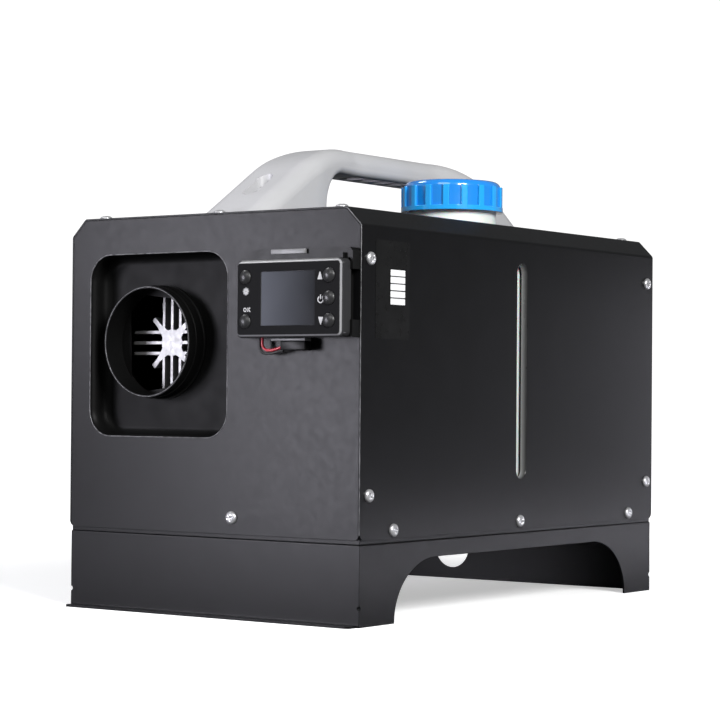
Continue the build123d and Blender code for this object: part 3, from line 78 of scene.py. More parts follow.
camera_data = bpy.data.cameras.new("camera")
camera_data.sensor_width = SENSOR
camera_data.lens = FOCAL_PIXELS / IMAGE_HEIGHT * SENSOR
camera_data.clip_start = 0.01
camera_data.clip_end = 50
camera = bpy.data.objects.new("camera", camera_data)
camera.matrix_world = Matrix.Translation(CAMERA_PLACE) @ Matrix((right, up, -ahead)).transposed().to_4x4()
scene.collection.objects.link(camera)
scene.camera = camera
scene.view_settings.view_transform = "Standard"


# ---------------------------------------------------------------- lights and world
def softbox(name, place, target, width, height, power, tint=(1, 1, 1)):
    """Rectangular light at a place, turned towards a target."""
    data = bpy.data.lights.new(name, "AREA")
    data.shape = "RECTANGLE"
    data.size = width
    data.size_y = height
    data.energy = power
    data.color = tint
    lamp = bpy.data.objects.new(name, data)
    lamp.location = place
    lamp.rotation_euler = (Vector(target) - Vector(place)).to_track_quat("-Z", "Y").to_euler()
    lamp.visible_camera = False
    scene.collection.objects.link(lamp)
    return lamp


COOL = (1, 0.985, 1.1)
SEEN_STRENGTH = 1.1
ROOM_STRENGTH = 0.2

softbox("key_right", (1.57, -0.906, 0.995), (0, 0, 0.15), 0.6, 0.6, 46)
softbox("front_fill", (0.45, -1.9, 1.5), (0, -0.15, 0.15), 1.0, 1.0, 11)
softbox("panel_low", (-0.637, -1.236, 0.098), (0.12, -0.18, 0.12), 0.3, 0.3, 7.0, COOL)
softbox("panel_high", (-0.865, -1.236, 0.383), (0, -0.18, 0.27), 0.3, 0.3, 6.2, COOL)
softbox("side_far", (0.332, 0.838, 0.151), (0.122, 0.4, 0.15), 0.2, 0.25, 0.38, COOL)
softbox("floor_card", (0.4, 0.42, 0.005), (0.125, 0.42, 0.05), 0.9, 0.012, 0.62, COOL)
softbox("floor_front", (-0.32, -0.585, 0.006), (-0.03, -0.18, 0.04), 0.5, 0.012, 0.2, COOL)
softbox("strip_left", (-0.85, -0.2, 1.35), (0.08, -0.19, 0.22), 0.15, 0.3, 3)

world = bpy.data.worlds.new("world")
scene.world = world
world.use_nodes = True
tree = world.node_tree
tree.nodes.clear()
seen = tree.nodes.new("ShaderNodeBackground")
seen.inputs["Color"].default_value = (1, 1, 1, 1)
seen.inputs["Strength"].default_value = SEEN_STRENGTH
room = tree.nodes.new("ShaderNodeBackground")
room.inputs["Color"].default_value = (0.96, 0.98, 1, 1)
room.inputs["Strength"].default_value = ROOM_STRENGTH
path = tree.nodes.new("ShaderNodeLightPath")
either = tree.nodes.new("ShaderNodeMixShader")
world_out = tree.nodes.new("ShaderNodeOutputWorld")
tree.links.new(path.outputs["Is Camera Ray"], either.inputs["Fac"])
tree.links.new(room.outputs["Background"], either.inputs[1])
tree.links.new(seen.outputs["Background"], either.inputs[2])
tree.links.new(either.outputs["Shader"], world_out.inputs["Surface"])


# ---------------------------------------------------------------- material helpers
COAT_ROUGHNESS = 0.04
NOISE_LOW = 0.3
NOISE_HIGH = 0.7
EDGE_SAMPLES = 6


def shader_of(material):
    """Shader node of a material."""
    return material.node_tree.nodes["Principled BSDF"]


def surface(name, color, roughness, metallic=0.0, coat=0.0, specular=0.5):
    """Principled material whose texture nodes read the piece's own coordinates."""
    material = bpy.data.materials.new(name)
    material.use_nodes = True
    shader = shader_of(material)
    shader.inputs["Base Color"].default_value = (*color, 1)
    shader.inputs["Roughness"].default_value = roughness
    shader.inputs["Metallic"].default_value = metallic
    shader.inputs["Coat Weight"].default_value = coat
    shader.inputs["Coat Roughness"].default_value = COAT_ROUGHNESS
    shader.inputs["Specular IOR Level"].default_value = specular
    material.node_tree.nodes.new("ShaderNodeTexCoord").name = "coordinates"
    return material


def place_in(material):
    """Point's place in the piece's own coordinates."""
    return material.node_tree.nodes["coordinates"].outputs["Object"]


def remap(material, value, low, high, first=0.0, last=1.0):
    """Number that goes from first to last as a value goes from low to high."""
    node = material.node_tree.nodes.new("ShaderNodeMapRange")
    node.inputs["From Min"].default_value = low
    node.inputs["From Max"].default_value = high
    node.inputs["To Min"].default_value = first
    node.inputs["To Max"].default_value = last
    material.node_tree.links.new(value, node.inputs["Value"])
    return node.outputs["Result"]


def along(material, axis, start, end, first=0.0, last=1.0):
    """Number that goes from first to last along an axis."""
    split = material.node_tree.nodes.new("ShaderNodeSeparateXYZ")
    material.node_tree.links.new(place_in(material), split.inputs["Vector"])
    return remap(material, split.outputs[axis], start, end, first, last)


def vector_step(material, operation, value, operand=None):
    """One vector operation on a value."""
    node = material.node_tree.nodes.new("ShaderNodeVectorMath")
    node.operation = operation
    material.node_tree.links.new(value, node.inputs[0])
    if operand:
        node.inputs[1].default_value = operand
    return node.outputs["Value" if operation == "LENGTH" else "Vector"]


def noise(material, scale, detail, stretch):
    """Noise, stretched along the axes."""
    tree = material.node_tree
    mapping = tree.nodes.new("ShaderNodeMapping")
    mapping.inputs["Scale"].default_value = stretch
    texture = tree.nodes.new("ShaderNodeTexNoise")
    texture.inputs["Scale"].default_value = scale
    texture.inputs["Detail"].default_value = detail
    tree.links.new(place_in(material), mapping.inputs["Vector"])
    tree.links.new(mapping.outputs["Vector"], texture.inputs["Vector"])
    return texture.outputs["Fac"]


def tint(material, factor, first, last):
    """Colour between two tints."""
    tree = material.node_tree
    mix = tree.nodes.new("ShaderNodeMix")
    mix.data_type = "RGBA"
    mix.inputs["A"].default_value = (*first, 1)
    mix.inputs["B"].default_value = (*last, 1)
    tree.links.new(factor, mix.inputs["Factor"])
    tree.links.new(mix.outputs["Result"], shader_of(material).inputs["Base Color"])


def mottle(material, scale, dark, light, detail=3.0):
    """Colour that drifts between two tints."""
    value = noise(material, scale, detail, (1, 1, 1))
    tint(material, remap(material, value, NOISE_LOW, NOISE_HIGH), dark, light)


def polish(material, scale, smooth, rough, stretch=(1, 1, 1)):
    """Roughness that drifts between two values."""
    drift = noise(material, scale, 2.0, stretch)
    value = remap(material, drift, NOISE_LOW, NOISE_HIGH, smooth, rough)
    material.node_tree.links.new(value, shader_of(material).inputs["Roughness"])


def grain(material, scale, strength, height, detail=2.0, stretch=(1, 1, 1)):
    """Fine relief."""
    tree = material.node_tree
    bump = tree.nodes.new("ShaderNodeBump")
    bump.inputs["Strength"].default_value = strength
    bump.inputs["Distance"].default_value = height
    tree.links.new(noise(material, scale, detail, stretch), bump.inputs["Height"])
    tree.links.new(bump.outputs["Normal"], shader_of(material).inputs["Normal"])


def polish_along(material, axis, start, end, first, last):
    """Roughness that changes along an axis."""
    value = along(material, axis, start, end, first, last)
    material.node_tree.links.new(value, shader_of(material).inputs["Roughness"])


def fade(material, axis, start, end, first, last):
    """Colour that changes along an axis."""
    tint(material, along(material, axis, start, end), first, last)


def fade_outwards(material, centre, near, far, near_tint, far_tint):
    """Colour that changes with the distance from an upright axis."""
    from_centre = vector_step(material, "SUBTRACT", place_in(material), (*centre, 0))
    level = vector_step(material, "MULTIPLY", from_centre, (1, 1, 0))
    reach = vector_step(material, "LENGTH", level)
    tint(material, remap(material, reach, near, far), near_tint, far_tint)


def painted_highlight_band(material, axis, start, end, ground, highlight_tint, beyond):
    """Ground colour, a painted highlight line between two places on an axis and a third colour beyond it.
    """
    tree = material.node_tree
    colors = tree.nodes.new("ShaderNodeValToRGB")
    colors.color_ramp.elements[0].color = (*ground, 1)
    colors.color_ramp.elements[1].color = (*beyond, 1)
    colors.color_ramp.elements.new(0.3).color = (*highlight_tint, 1)
    colors.color_ramp.elements.new(0.7).color = (*highlight_tint, 1)
    tree.links.new(along(material, axis, start, end), colors.inputs["Fac"])
    tree.links.new(colors.outputs["Color"], shader_of(material).inputs["Base Color"])


def soften_edges(material, radius):
    """Worn, slightly round edges under the relief."""
    tree = material.node_tree
    edge = tree.nodes.new("ShaderNodeBevel")
    edge.samples = EDGE_SAMPLES
    edge.inputs["Radius"].default_value = radius
    relief = next(node for node in tree.nodes if node.bl_idname == "ShaderNodeBump")
    tree.links.new(edge.outputs["Normal"], relief.inputs["Normal"])


def shade(gray, blue=0.0):
    """Neutral colour with a little blue."""
    return (gray, gray, gray * (1 + blue))


# ---------------------------------------------------------------- materials
black_paint = surface("black_paint", shade(0.004, 0.1), 0.32, specular=0.13)
mottle(black_paint, 40, shade(0.0035, 0.08), shade(0.0045, 0.12))
polish(black_paint, 240, 0.30, 0.34)
grain(black_paint, 1500, 0.25, 0.1 * MM)
soften_edges(black_paint, 0.5 * MM)

ROLL_INNER = 118.5 * MM
ROLL_OUTER = 122.3 * MM
slot_roll_painted_light = surface("slot_roll_painted_light", shade(0.02, 0.05), 0.28)
# painted light and shade: the rolled edge is lighter deep in the slot and darker towards the side's face
fade(slot_roll_painted_light, "X", ROLL_INNER, ROLL_OUTER, shade(0.2), shade(0.012))
polish(slot_roll_painted_light, 100, 0.26, 0.32)

# painted highlight: the edge beads are lighter than the paint to show light lines along the edges, with
# speckled wear
edge_highlight_and_wear = surface("edge_highlight_and_wear", shade(0.08, 0.05), 0.35)
mottle(edge_highlight_and_wear, 260, shade(0.015, 0.05), shade(0.16, 0.05), 5.0)
polish(edge_highlight_and_wear, 300, 0.3, 0.45)

heater_plastic = surface("heater_plastic", shade(0.004), 0.42, specular=0.06)
mottle(heater_plastic, 12, shade(0.0035), shade(0.005))
polish(heater_plastic, 60, 0.38, 0.46)
grain(heater_plastic, 900, 0.15, 0.1 * MM)

bare_steel = surface("bare_steel", shade(0.5), 0.34, metallic=1)
mottle(bare_steel, 30, shade(0.42), shade(0.56))
polish(bare_steel, 200, 0.25, 0.42, (1, 0.05, 1))
grain(bare_steel, 900, 0.1, 0.05 * MM, 2, (1, 0.05, 1))

zinc = surface("zinc", shade(0.6, 0.02), 0.3, metallic=0.75)
mottle(zinc, 500, shade(0.54, 0.02), shade(0.64, 0.02))
polish(zinc, 700, 0.28, 0.4)

holder_plastic = surface("holder_plastic", shade(0.006), 0.3, specular=0.1)
mottle(holder_plastic, 30, shade(0.005), shade(0.007))
polish(holder_plastic, 120, 0.28, 0.34)
grain(holder_plastic, 1200, 0.08, 0.05 * MM)

CASE_FACE = -198.75 * MM
BEVEL_START = CASE_FACE + 0.15 * MM
BEVEL_END = CASE_FACE + 1.5 * MM
case_plastic = surface("case_plastic", shade(0.006, 0.06), 0.16, specular=0.1)
# painted highlight: a bright line along the front bevel, with the sides behind it painted lighter as a
# sheen
painted_highlight_band(
    case_plastic,
    "Y",
    BEVEL_START,
    BEVEL_END,
    ground=shade(0.006, 0.1),
    highlight_tint=shade(0.28, 0.03),
    beyond=shade(0.028, 0.05),
)
polish_along(case_plastic, "Y", CASE_FACE + 0.1 * MM, CASE_FACE + 0.4 * MM, 0.72, 0.14)

button_plastic = surface("button_plastic", shade(0.018, 0.04), 0.3)
mottle(button_plastic, 300, shade(0.016, 0.04), shade(0.02, 0.04))
polish(button_plastic, 600, 0.31, 0.37)
grain(button_plastic, 1800, 0.08, 0.05 * MM)

SCREEN_LEFT = 55 * MM
SCREEN_RIGHT = 98 * MM
lens = surface("lens", (0.06, 0.064, 0.08), 0.42, specular=0.06)
# painted reflection: the window is lighter at its left and darker towards its right
fade(lens, "X", SCREEN_LEFT, SCREEN_RIGHT, (0.067, 0.072, 0.087), (0.003, 0.004, 0.006))
polish(lens, 60, 0.4, 0.44)

circuit = surface("circuit", (0.01, 0.09, 0.045), 0.4)
mottle(circuit, 250, (0.008, 0.06, 0.03), (0.015, 0.11, 0.06))
polish(circuit, 300, 0.3, 0.5)

NOSE_FRONT = -154.5 * MM
NOSE_REAR = -144 * MM
cast_aluminium = surface("cast_aluminium", shade(0.27), 0.4, metallic=0.6)
# painted shade: the exchanger is bright at its front edges and darkens deeper behind them
fade(cast_aluminium, "Y", NOSE_FRONT, NOSE_REAR, shade(0.27), shade(0.012))
polish(cast_aluminium, 500, 0.34, 0.5)
grain(cast_aluminium, 900, 0.4, 0.15 * MM, 4)

tank_plastic = surface("tank_plastic", (0.8, 0.81, 0.78), 0.35)
mottle(tank_plastic, 12, (0.74, 0.76, 0.73), (0.84, 0.85, 0.82))
polish(tank_plastic, 60, 0.28, 0.42)
grain(tank_plastic, 300, 0.1, 0.2 * MM)
shader_of(tank_plastic).inputs["Subsurface Weight"].default_value = 0.35
shader_of(tank_plastic).inputs["Subsurface Scale"].default_value = 6 * MM

CAP_CENTRE = (64.5 * MM, 8.25 * MM)
RIB_FOOT = 34.3 * MM
RIB_TOP = 35.9 * MM
blue_plastic = surface("blue_plastic", (0.003, 0.31, 0.76), 0.18, coat=1.0, specular=0.8)
# painted shade: the valleys between the ribs are darker and the rib tops lighter
fade_outwards(blue_plastic, CAP_CENTRE, RIB_FOOT, RIB_TOP, (0.003, 0.23, 0.72), (0.006, 0.35, 0.84))
polish(blue_plastic, 150, 0.14, 0.2)
grain(blue_plastic, 500, 0.06, 0.1 * MM)
soften_edges(blue_plastic, 0.9 * MM)

grey_plastic = surface("grey_plastic", shade(0.44, 0.02), 0.38)
mottle(grey_plastic, 16, shade(0.42, 0.02), shade(0.46, 0.02))
polish(grey_plastic, 90, 0.32, 0.44)
grain(grey_plastic, 700, 0.1, 0.1 * MM)

black_rubber = surface("black_rubber", shade(0.018), 0.6)
mottle(black_rubber, 200, shade(0.014), shade(0.024))
polish(black_rubber, 300, 0.5, 0.7)
grain(black_rubber, 1200, 0.15, 0.05 * MM)

latch_plastic = surface("latch_plastic", shade(0.16, 0.02), 0.35)
mottle(latch_plastic, 120, shade(0.14, 0.02), shade(0.18, 0.02))
polish(latch_plastic, 300, 0.34, 0.46)
grain(latch_plastic, 1200, 0.08, 0.05 * MM)

red_wire = surface("red_wire", (0.5, 0.02, 0.04), 0.35)
mottle(red_wire, 400, (0.42, 0.015, 0.03), (0.56, 0.03, 0.05))
polish(red_wire, 500, 0.28, 0.42)

brass = surface("brass", (0.72, 0.5, 0.2), 0.28, metallic=1)
mottle(brass, 200, (0.62, 0.42, 0.16), (0.78, 0.56, 0.24))
polish(brass, 400, 0.2, 0.36)

filter_plastic = surface("filter_plastic", (0.75, 0.75, 0.7), 0.2)
mottle(filter_plastic, 100, (0.7, 0.7, 0.64), (0.8, 0.8, 0.76))
polish(filter_plastic, 200, 0.15, 0.28)

white_ink = surface("white_ink", shade(0.42), 0.5)
mottle(white_ink, 900, shade(0.38), shade(0.46))
polish(white_ink, 900, 0.4, 0.6)

label_film = surface("label_film", shade(0.006), 0.3, specular=0.15)
mottle(label_film, 60, shade(0.005), shade(0.007))
polish(label_film, 200, 0.25, 0.38)

label_print = surface("label_print", shade(0.8), 0.45)
mottle(label_print, 120, shade(0.76), shade(0.84))
polish(label_print, 200, 0.38, 0.52)

floor_paper = surface("floor_paper", shade(0.93), 0.9, specular=0.0)
mottle(floor_paper, 2, shade(0.92), shade(0.94))
polish(floor_paper, 3, 0.85, 0.95)

# the paper is lit from behind further out, so that it meets the white room without a line
GLOW_START = 0.3
GLOW_END = 0.9
GLOW_NEAR = 0.47
GLOW_FAR = 1.0
distance = vector_step(floor_paper, "LENGTH", place_in(floor_paper))
glow = remap(floor_paper, distance, GLOW_START, GLOW_END, GLOW_NEAR, GLOW_FAR)
glow.node.interpolation_type = "SMOOTHSTEP"
floor_paper.node_tree.links.new(glow, shader_of(floor_paper).inputs["Emission Strength"])
shader_of(floor_paper).inputs["Emission Color"].default_value = (1, 1, 1, 1)

floor_bounce = surface("floor_bounce", shade(0.75), 0.9, specular=0.0)

SLOT_MATERIALS = {
    "black_paint": black_paint,
    "plain_steel": bare_steel,
    "zinc": zinc,
    "heater_plastic": heater_plastic,
    "holder_plastic": holder_plastic,
    "case_plastic": case_plastic,
    "button_plastic": button_plastic,
    "lens": lens,
    "display": lens,
    "circuit": circuit,
    "cast_aluminium": cast_aluminium,
    "tank_plastic": tank_plastic,
    "blue_plastic": blue_plastic,
    "grey_plastic": grey_plastic,
    "black_rubber": black_rubber,
    "latch_plastic": latch_plastic,
    "red_wire": red_wire,
    "brass": brass,
    "filter_plastic": filter_plastic,
}
for part in frame["record"]["subparts"]:
    for slot in nodes[part["node"]].material_slots:
        slot.material = SLOT_MATERIALS[part["material_slot"]]


# ---------------------------------------------------------------- floor
FLOOR_HALF = 12.0
NEAR_FLOOR_HALF = 0.75
NEAR_FLOOR_DROP = 1 * MM


def floor_sheet(name, half, height, material):
    """Square sheet of paper under the object."""
    mesh = bpy.data.meshes.new(name)
    mesh.from_pydata(
        [(-half, -half, height), (half, -half, height), (half, half, height), (-half, half, height)],
        [],
        [(0, 1, 2, 3)],
    )
    mesh.materials.append(material)
    sheet = bpy.data.objects.new(name, mesh)
    scene.collection.objects.link(sheet)
    return sheet


floor = floor_sheet("floor", FLOOR_HALF, 0, floor_paper)
floor.visible_diffuse = False
floor.visible_glossy = False
near_floor = floor_sheet("near_floor", NEAR_FLOOR_HALF, -NEAR_FLOOR_DROP, floor_bounce)
near_floor.visible_camera = False


# ---------------------------------------------------------------- mesh helpers
def new_piece(name, verts, faces, material, body):
    """Smooth-shaded mesh piece with the given material, riding on a body."""
    mesh = bpy.data.meshes.new(name)
    mesh.from_pydata([tuple(vert) for vert in verts], [], faces)
    mesh.materials.append(material)
    for polygon in mesh.polygons:
        polygon.use_smooth = True
    made = bpy.data.objects.new(name, mesh)
    scene.collection.objects.link(made)
    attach(made, body)
    return made


def ring_faces(ring_count, ring_size, start=0):
    """Quads between closed rings of equal size, in order."""
    faces = []
    for ring in range(ring_count - 1):
        low = start + ring * ring_size
        high = low + ring_size
        for index in range(ring_size):
            after = (index + 1) % ring_size
            faces.append((low + index, low + after, high + after, high + index))
    return faces


def smooth_step(low, high, value):
    """Zero below low, one above high, and a soft ramp between."""
    ratio = min(max((value - low) / (high - low), 0), 1)
    return ratio * ratio * (3 - 2 * ratio)


def rounded_box(half_width, half_height, radius, corner_steps):
    """Points round a rectangle with round corners, anticlockwise from its right side."""
    points = []
    for turn, (side_x, side_y) in enumerate(((1, 1), (-1, 1), (-1, -1), (1, -1))):
        for step in range(corner_steps + 1):
            angle = math.radians(90 * (turn + step / corner_steps))
            points.append(
                (
                    side_x * (half_width - radius) + radius * math.cos(angle),
                    side_y * (half_height - radius) + radius * math.sin(angle),
                )
            )
    return points


# ---------------------------------------------------------------- body sizes that the pieces sit on
BODY_HALF_WIDTH = 122.5 * MM
BODY_TOP = 265 * MM
FRONT_FACE = -181.75 * MM
REAR_FACE = 198.25 * MM


# ---------------------------------------------------------------- screws and bolts
HEAD_RINGS = 30
HEAD_SPOKES = 72
CROSS_HALF_WIDTH = 0.5 * MM
CROSS_WALL = 0.22 * MM
HEAD_RIM_SHARE = 0.22
HEAD_DOME_POWER = 2.6
HEAD_FIRST_TURN = 20
HEAD_NEXT_TURN = 47


def pan_head(radius, height, cross_reach, cross_depth):
    """Domed head with a cross recess, on the origin with its top towards +Z."""
    verts = []
    for ring in range(HEAD_RINGS + 1):
        reach = radius * ring / HEAD_RINGS
        for spoke in range(HEAD_SPOKES):
            angle = 2 * math.pi * spoke / HEAD_SPOKES
            x = reach * math.cos(angle)
            y = reach * math.sin(angle)
            swell = math.sqrt(max(0, 1 - (reach / radius) ** HEAD_DOME_POWER))
            dome = height * (HEAD_RIM_SHARE + (1 - HEAD_RIM_SHARE) * swell)
            across_arm = min(abs(x), abs(y))
            along_arm = max(abs(x), abs(y))
            wall = 1 - smooth_step(CROSS_HALF_WIDTH, CROSS_HALF_WIDTH + CROSS_WALL, across_arm)
            end = 1 - smooth_step(cross_reach - 2 * CROSS_WALL, cross_reach, along_arm)
            depth = cross_depth * (1 - 0.5 * along_arm / cross_reach)
            verts.append(Vector((x, y, dome - depth * wall * end)))
    for spoke in range(HEAD_SPOKES):
        angle = 2 * math.pi * spoke / HEAD_SPOKES
        verts.append(Vector((radius * math.cos(angle), radius * math.sin(angle), 0)))
    return verts, ring_faces(HEAD_RINGS + 2, HEAD_SPOKES)


def heads_piece(name, replaced, seats, head):
    """One piece with a head on every seat, each turned a little differently."""
    head_verts, head_faces = head
    verts = []
    faces = []
    for index, (place, outward) in enumerate(seats):
        turn = Matrix.Rotation(math.radians(HEAD_NEXT_TURN * index + HEAD_FIRST_TURN), 4, "Z")
        stand = Vector(outward).to_track_quat("Z", "Y").to_matrix().to_4x4()
        move = Matrix.Translation(place) @ stand @ turn
        offset = len(verts)
        verts += [move @ vert for vert in head_verts]
        faces += [tuple(offset + corner for corner in face) for face in head_faces]
    made = new_piece(name, verts, faces, zinc, "housing")
    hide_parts(replaced)
    return made


END_ROWS = (-172.55 * MM, 189.05 * MM)
TOP_COLUMNS = (-100 * MM, 0, 100 * MM)
SIDE_HEIGHTS = (82.6 * MM, 232 * MM)
STAND_ROWS = (-145.25 * MM, 8.25 * MM, 161.75 * MM)
STAND_SCREW_Z = 59.8 * MM
PANEL_SCREW_X = 19.6 * MM
PANEL_SCREW_Z = 65.4 * MM
BOLT_ROWS = (-131.75 * MM, 148.25 * MM)
BOLT_SEAT_Z = 277 * MM

screw_head = pan_head(4.25 * MM, 2.5 * MM, cross_reach=2.5 * MM, cross_depth=1.5 * MM)
cover_seats = [((x, y, BODY_TOP), (0, 0, 1)) for x in TOP_COLUMNS for y in END_ROWS]
cover_seats += [
    ((side * BODY_HALF_WIDTH, y, z), (side, 0, 0))
    for side in (-1, 1)
    for y in END_ROWS
    for z in SIDE_HEIGHTS
]
cover_seats += [
    ((side * BODY_HALF_WIDTH, y, STAND_SCREW_Z), (side, 0, 0)) for side in (-1, 1) for y in STAND_ROWS
]
heads_piece("cover_screw_heads", "cover_screws", cover_seats, screw_head)
panel_seats = [
    ((PANEL_SCREW_X, FRONT_FACE, PANEL_SCREW_Z), (0, -1, 0)),
    ((PANEL_SCREW_X, REAR_FACE, PANEL_SCREW_Z), (0, 1, 0)),
]
heads_piece("panel_screw_heads", "panel_screws", panel_seats, screw_head)
bolt_head = pan_head(4.6 * MM, 3.2 * MM, cross_reach=2.9 * MM, cross_depth=1.8 * MM)
bolt_seats = [((0, y, BOLT_SEAT_Z), (0, 0, 1)) for y in BOLT_ROWS]
heads_piece("handle_bolt_heads", "handle_bolts", bolt_seats, bolt_head)


# ---------------------------------------------------------------- moulded recess round the warm air outlet
OPENING_X = -45.25 * MM
OPENING_Z = 178.4 * MM
OPENING_HALF_WIDTH = 59.75 * MM
OPENING_HALF_HEIGHT = 61.1 * MM
OPENING_RADIUS = 17.5 * MM
RECESS_RIM = FRONT_FACE + 1.3 * MM
RECESS_BACK = FRONT_FACE + 16.3 * MM
RECESS_FLANGE = 4 * MM
RECESS_FILLET = 6 * MM
RECESS_LIP = 0.2 * MM
RECESS_FLOOR_EDGE = 0.5 * MM
COLLAR_OVERLAP = 0.3 * MM
RECESS_CORNER_STEPS = 14
RECESS_FILLET_STEPS = 10

collar_low, collar_high = [Vector(corner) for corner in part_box("outlet_collar")]
collar_x = (collar_low.x + collar_high.x) / 2
collar_z = (collar_low.z + collar_high.z) / 2
collar_reach = (collar_high.x - collar_low.x) / 2


def recess_ring(inset, y):
    """Ring of the recess, that far inside the opening's edge."""
    outline = rounded_box(
        OPENING_HALF_WIDTH - inset,
        OPENING_HALF_HEIGHT - inset,
        OPENING_RADIUS - inset,
        RECESS_CORNER_STEPS,
    )
    return [Vector((OPENING_X + x, y, OPENING_Z + z)) for x, z in outline]


recess_rings = [recess_ring(-RECESS_FLANGE, RECESS_RIM), recess_ring(-RECESS_LIP, RECESS_RIM)]
for step in range(RECESS_FILLET_STEPS + 1):
    angle = math.radians(90 * step / RECESS_FILLET_STEPS)
    recess_rings.append(
        recess_ring(
            RECESS_FILLET * (1 - math.cos(angle)),
            RECESS_BACK - RECESS_FILLET * (1 - math.sin(angle)),
        )
    )
recess_rings.append(recess_ring(RECESS_FILLET + RECESS_FLOOR_EDGE, RECESS_BACK))
hole_reach = collar_reach - COLLAR_OVERLAP
hole_ring = []
for point in recess_rings[-1]:
    angle = math.atan2(point.z - collar_z, point.x - collar_x)
    x = collar_x + hole_reach * math.cos(angle)
    z = collar_z + hole_reach * math.sin(angle)
    hole_ring.append(Vector((x, RECESS_BACK, z)))
recess_rings.append(hole_ring)
new_piece(
    "outlet_recess",
    [point for ring in recess_rings for point in ring],
    ring_faces(len(recess_rings), len(hole_ring)),
    heater_plastic,
    "housing",
)


# ---------------------------------------------------------------- beads, and edges with painted highlights and wear
BEAD_SIDES = 10


def bead(name, path, closed, y, radius, material):
    """Round bead along an upright path of x and z, at one depth."""
    verts = []
    for index, (x, z) in enumerate(path):
        before = path[index - 1] if closed or index > 0 else path[index]
        after = path[(index + 1) % len(path)] if closed or index < len(path) - 1 else path[index]
        run = math.hypot(after[0] - before[0], after[1] - before[1])
        side_x = (after[1] - before[1]) / run
        side_z = -(after[0] - before[0]) / run
        for side in range(BEAD_SIDES):
            angle = 2 * math.pi * side / BEAD_SIDES
            reach = radius * math.cos(angle)
            verts.append((x + reach * side_x, y + radius * math.sin(angle), z + reach * side_z))
    count = len(path)
    faces = ring_faces(count, BEAD_SIDES)
    if closed:
        last = (count - 1) * BEAD_SIDES
        for side in range(BEAD_SIDES):
            after = (side + 1) % BEAD_SIDES
            faces.append((last + side, last + after, after, side))
    return new_piece(name, verts, faces, material, "housing")


CLAMP_BEAD_REACH = 37.4 * MM
CLAMP_BEAD_RADIUS = 0.75 * MM
CLAMP_BEAD_DEPTH = 7.3 * MM
RIM_REACH = 36.7 * MM
RIM_RADIUS = 0.3 * MM
CIRCLE_STEPS = 96
EDGE_RADIUS = 0.35 * MM
EDGE_SINK = 0.1 * MM


def collar_circle(reach):
    """Circle round the collar's axis, as x and z."""
    points = []
    for step in range(CIRCLE_STEPS):
        turn = 2 * math.pi * step / CIRCLE_STEPS
        points.append((collar_x + reach * math.cos(turn), collar_z + reach * math.sin(turn)))
    return points


bead(
    "collar_bead",
    collar_circle(CLAMP_BEAD_REACH),
    True,
    FRONT_FACE + CLAMP_BEAD_DEPTH,
    CLAMP_BEAD_RADIUS,
    heater_plastic,
)
opening_path = [(point.x, point.z) for point in recess_ring(-EDGE_RADIUS, FRONT_FACE)]
bead("opening_edge", opening_path, True, FRONT_FACE + EDGE_SINK, EDGE_RADIUS, edge_highlight_and_wear)

# right edge of the cover, round the fold at its top
cover_path = [
    (121.9 * MM, 58 * MM),
    (121.9 * MM, 251.8 * MM),
    (121.3 * MM, 253.6 * MM),
    (111.1 * MM, 263.8 * MM),
    (109.5 * MM, 264.4 * MM),
]
bead("cover_edge", cover_path, False, FRONT_FACE + EDGE_SINK, EDGE_RADIUS, edge_highlight_and_wear)
bead(
    "collar_edge",
    collar_circle(RIM_REACH),
    True,
    collar_low.y + EDGE_SINK,
    RIM_RADIUS,
    edge_highlight_and_wear,
)


# ---------------------------------------------------------------- rolled edge inside the sight slot
SLOT_Y = 9.75 * MM
SLOT_Z = 163.45 * MM
SLOT_STRAIGHT = 136.3 * MM
SLOT_REACH = 6.65 * MM
ROLL_REACH = 1.0 * MM
ROLL_DEPTH = 4.2 * MM
ROLL_ARC_STEPS = 16
ROLL_SIDES = 12

roll_stations = []
for turn, end in ((0, 1), (180, -1)):
    for step in range(ROLL_ARC_STEPS + 1):
        angle = math.radians(turn + 180 * step / ROLL_ARC_STEPS)
        roll_stations.append((math.cos(angle), math.sin(angle), end * SLOT_STRAIGHT / 2))
roll_verts = []
for way_y, way_z, lift in roll_stations:
    for side in range(ROLL_SIDES + 1):
        angle = math.pi / 2 * side / ROLL_SIDES
        reach = SLOT_REACH - ROLL_REACH * math.sin(angle)
        roll_verts.append(
            (
                BODY_HALF_WIDTH - ROLL_DEPTH * (1 - math.cos(angle)),
                SLOT_Y + reach * way_y,
                SLOT_Z + lift + reach * way_z,
            )
        )
roll_faces = []
for station in range(len(roll_stations)):
    low = station * (ROLL_SIDES + 1)
    high = ((station + 1) % len(roll_stations)) * (ROLL_SIDES + 1)
    for side in range(ROLL_SIDES):
        roll_faces.append((low + side + 1, low + side, high + side, high + side + 1))
new_piece("slot_roll", roll_verts, roll_faces, slot_roll_painted_light, "housing")


# ---------------------------------------------------------------- webs of the heat exchanger's star
STAR_FACE = FRONT_FACE + 26.42 * MM
STAR_BACK = FRONT_FACE + 27.5 * MM
STAR_HUB = 7 * MM
STAR_ARM = 12.5 * MM
STAR_ARM_SPREAD = math.radians(10)
STAR_STEPS = 240

star_front = []
star_rear = []
for step in range(STAR_STEPS):
    angle = 2 * math.pi * step / STAR_STEPS
    off_diagonal = (angle % (math.pi / 2)) - math.pi / 4
    reach = STAR_HUB + STAR_ARM / (1 + (off_diagonal / STAR_ARM_SPREAD) ** 2)
    x = collar_x + reach * math.cos(angle)
    z = collar_z + reach * math.sin(angle)
    star_front.append(Vector((x, STAR_FACE, z)))
    star_rear.append(Vector((x, STAR_BACK, z)))
star_middle = len(star_front) + len(star_rear)
star_faces = ring_faces(2, STAR_STEPS)
for step in range(STAR_STEPS):
    star_faces.append((star_middle, (step + 1) % STAR_STEPS, step))
star_webs = new_piece(
    "star_webs",
    star_front + star_rear + [Vector((collar_x, STAR_FACE, collar_z))],
    star_faces,
    cast_aluminium,
    "housing",
)
for polygon in star_webs.data.polygons:
    polygon.use_smooth = False


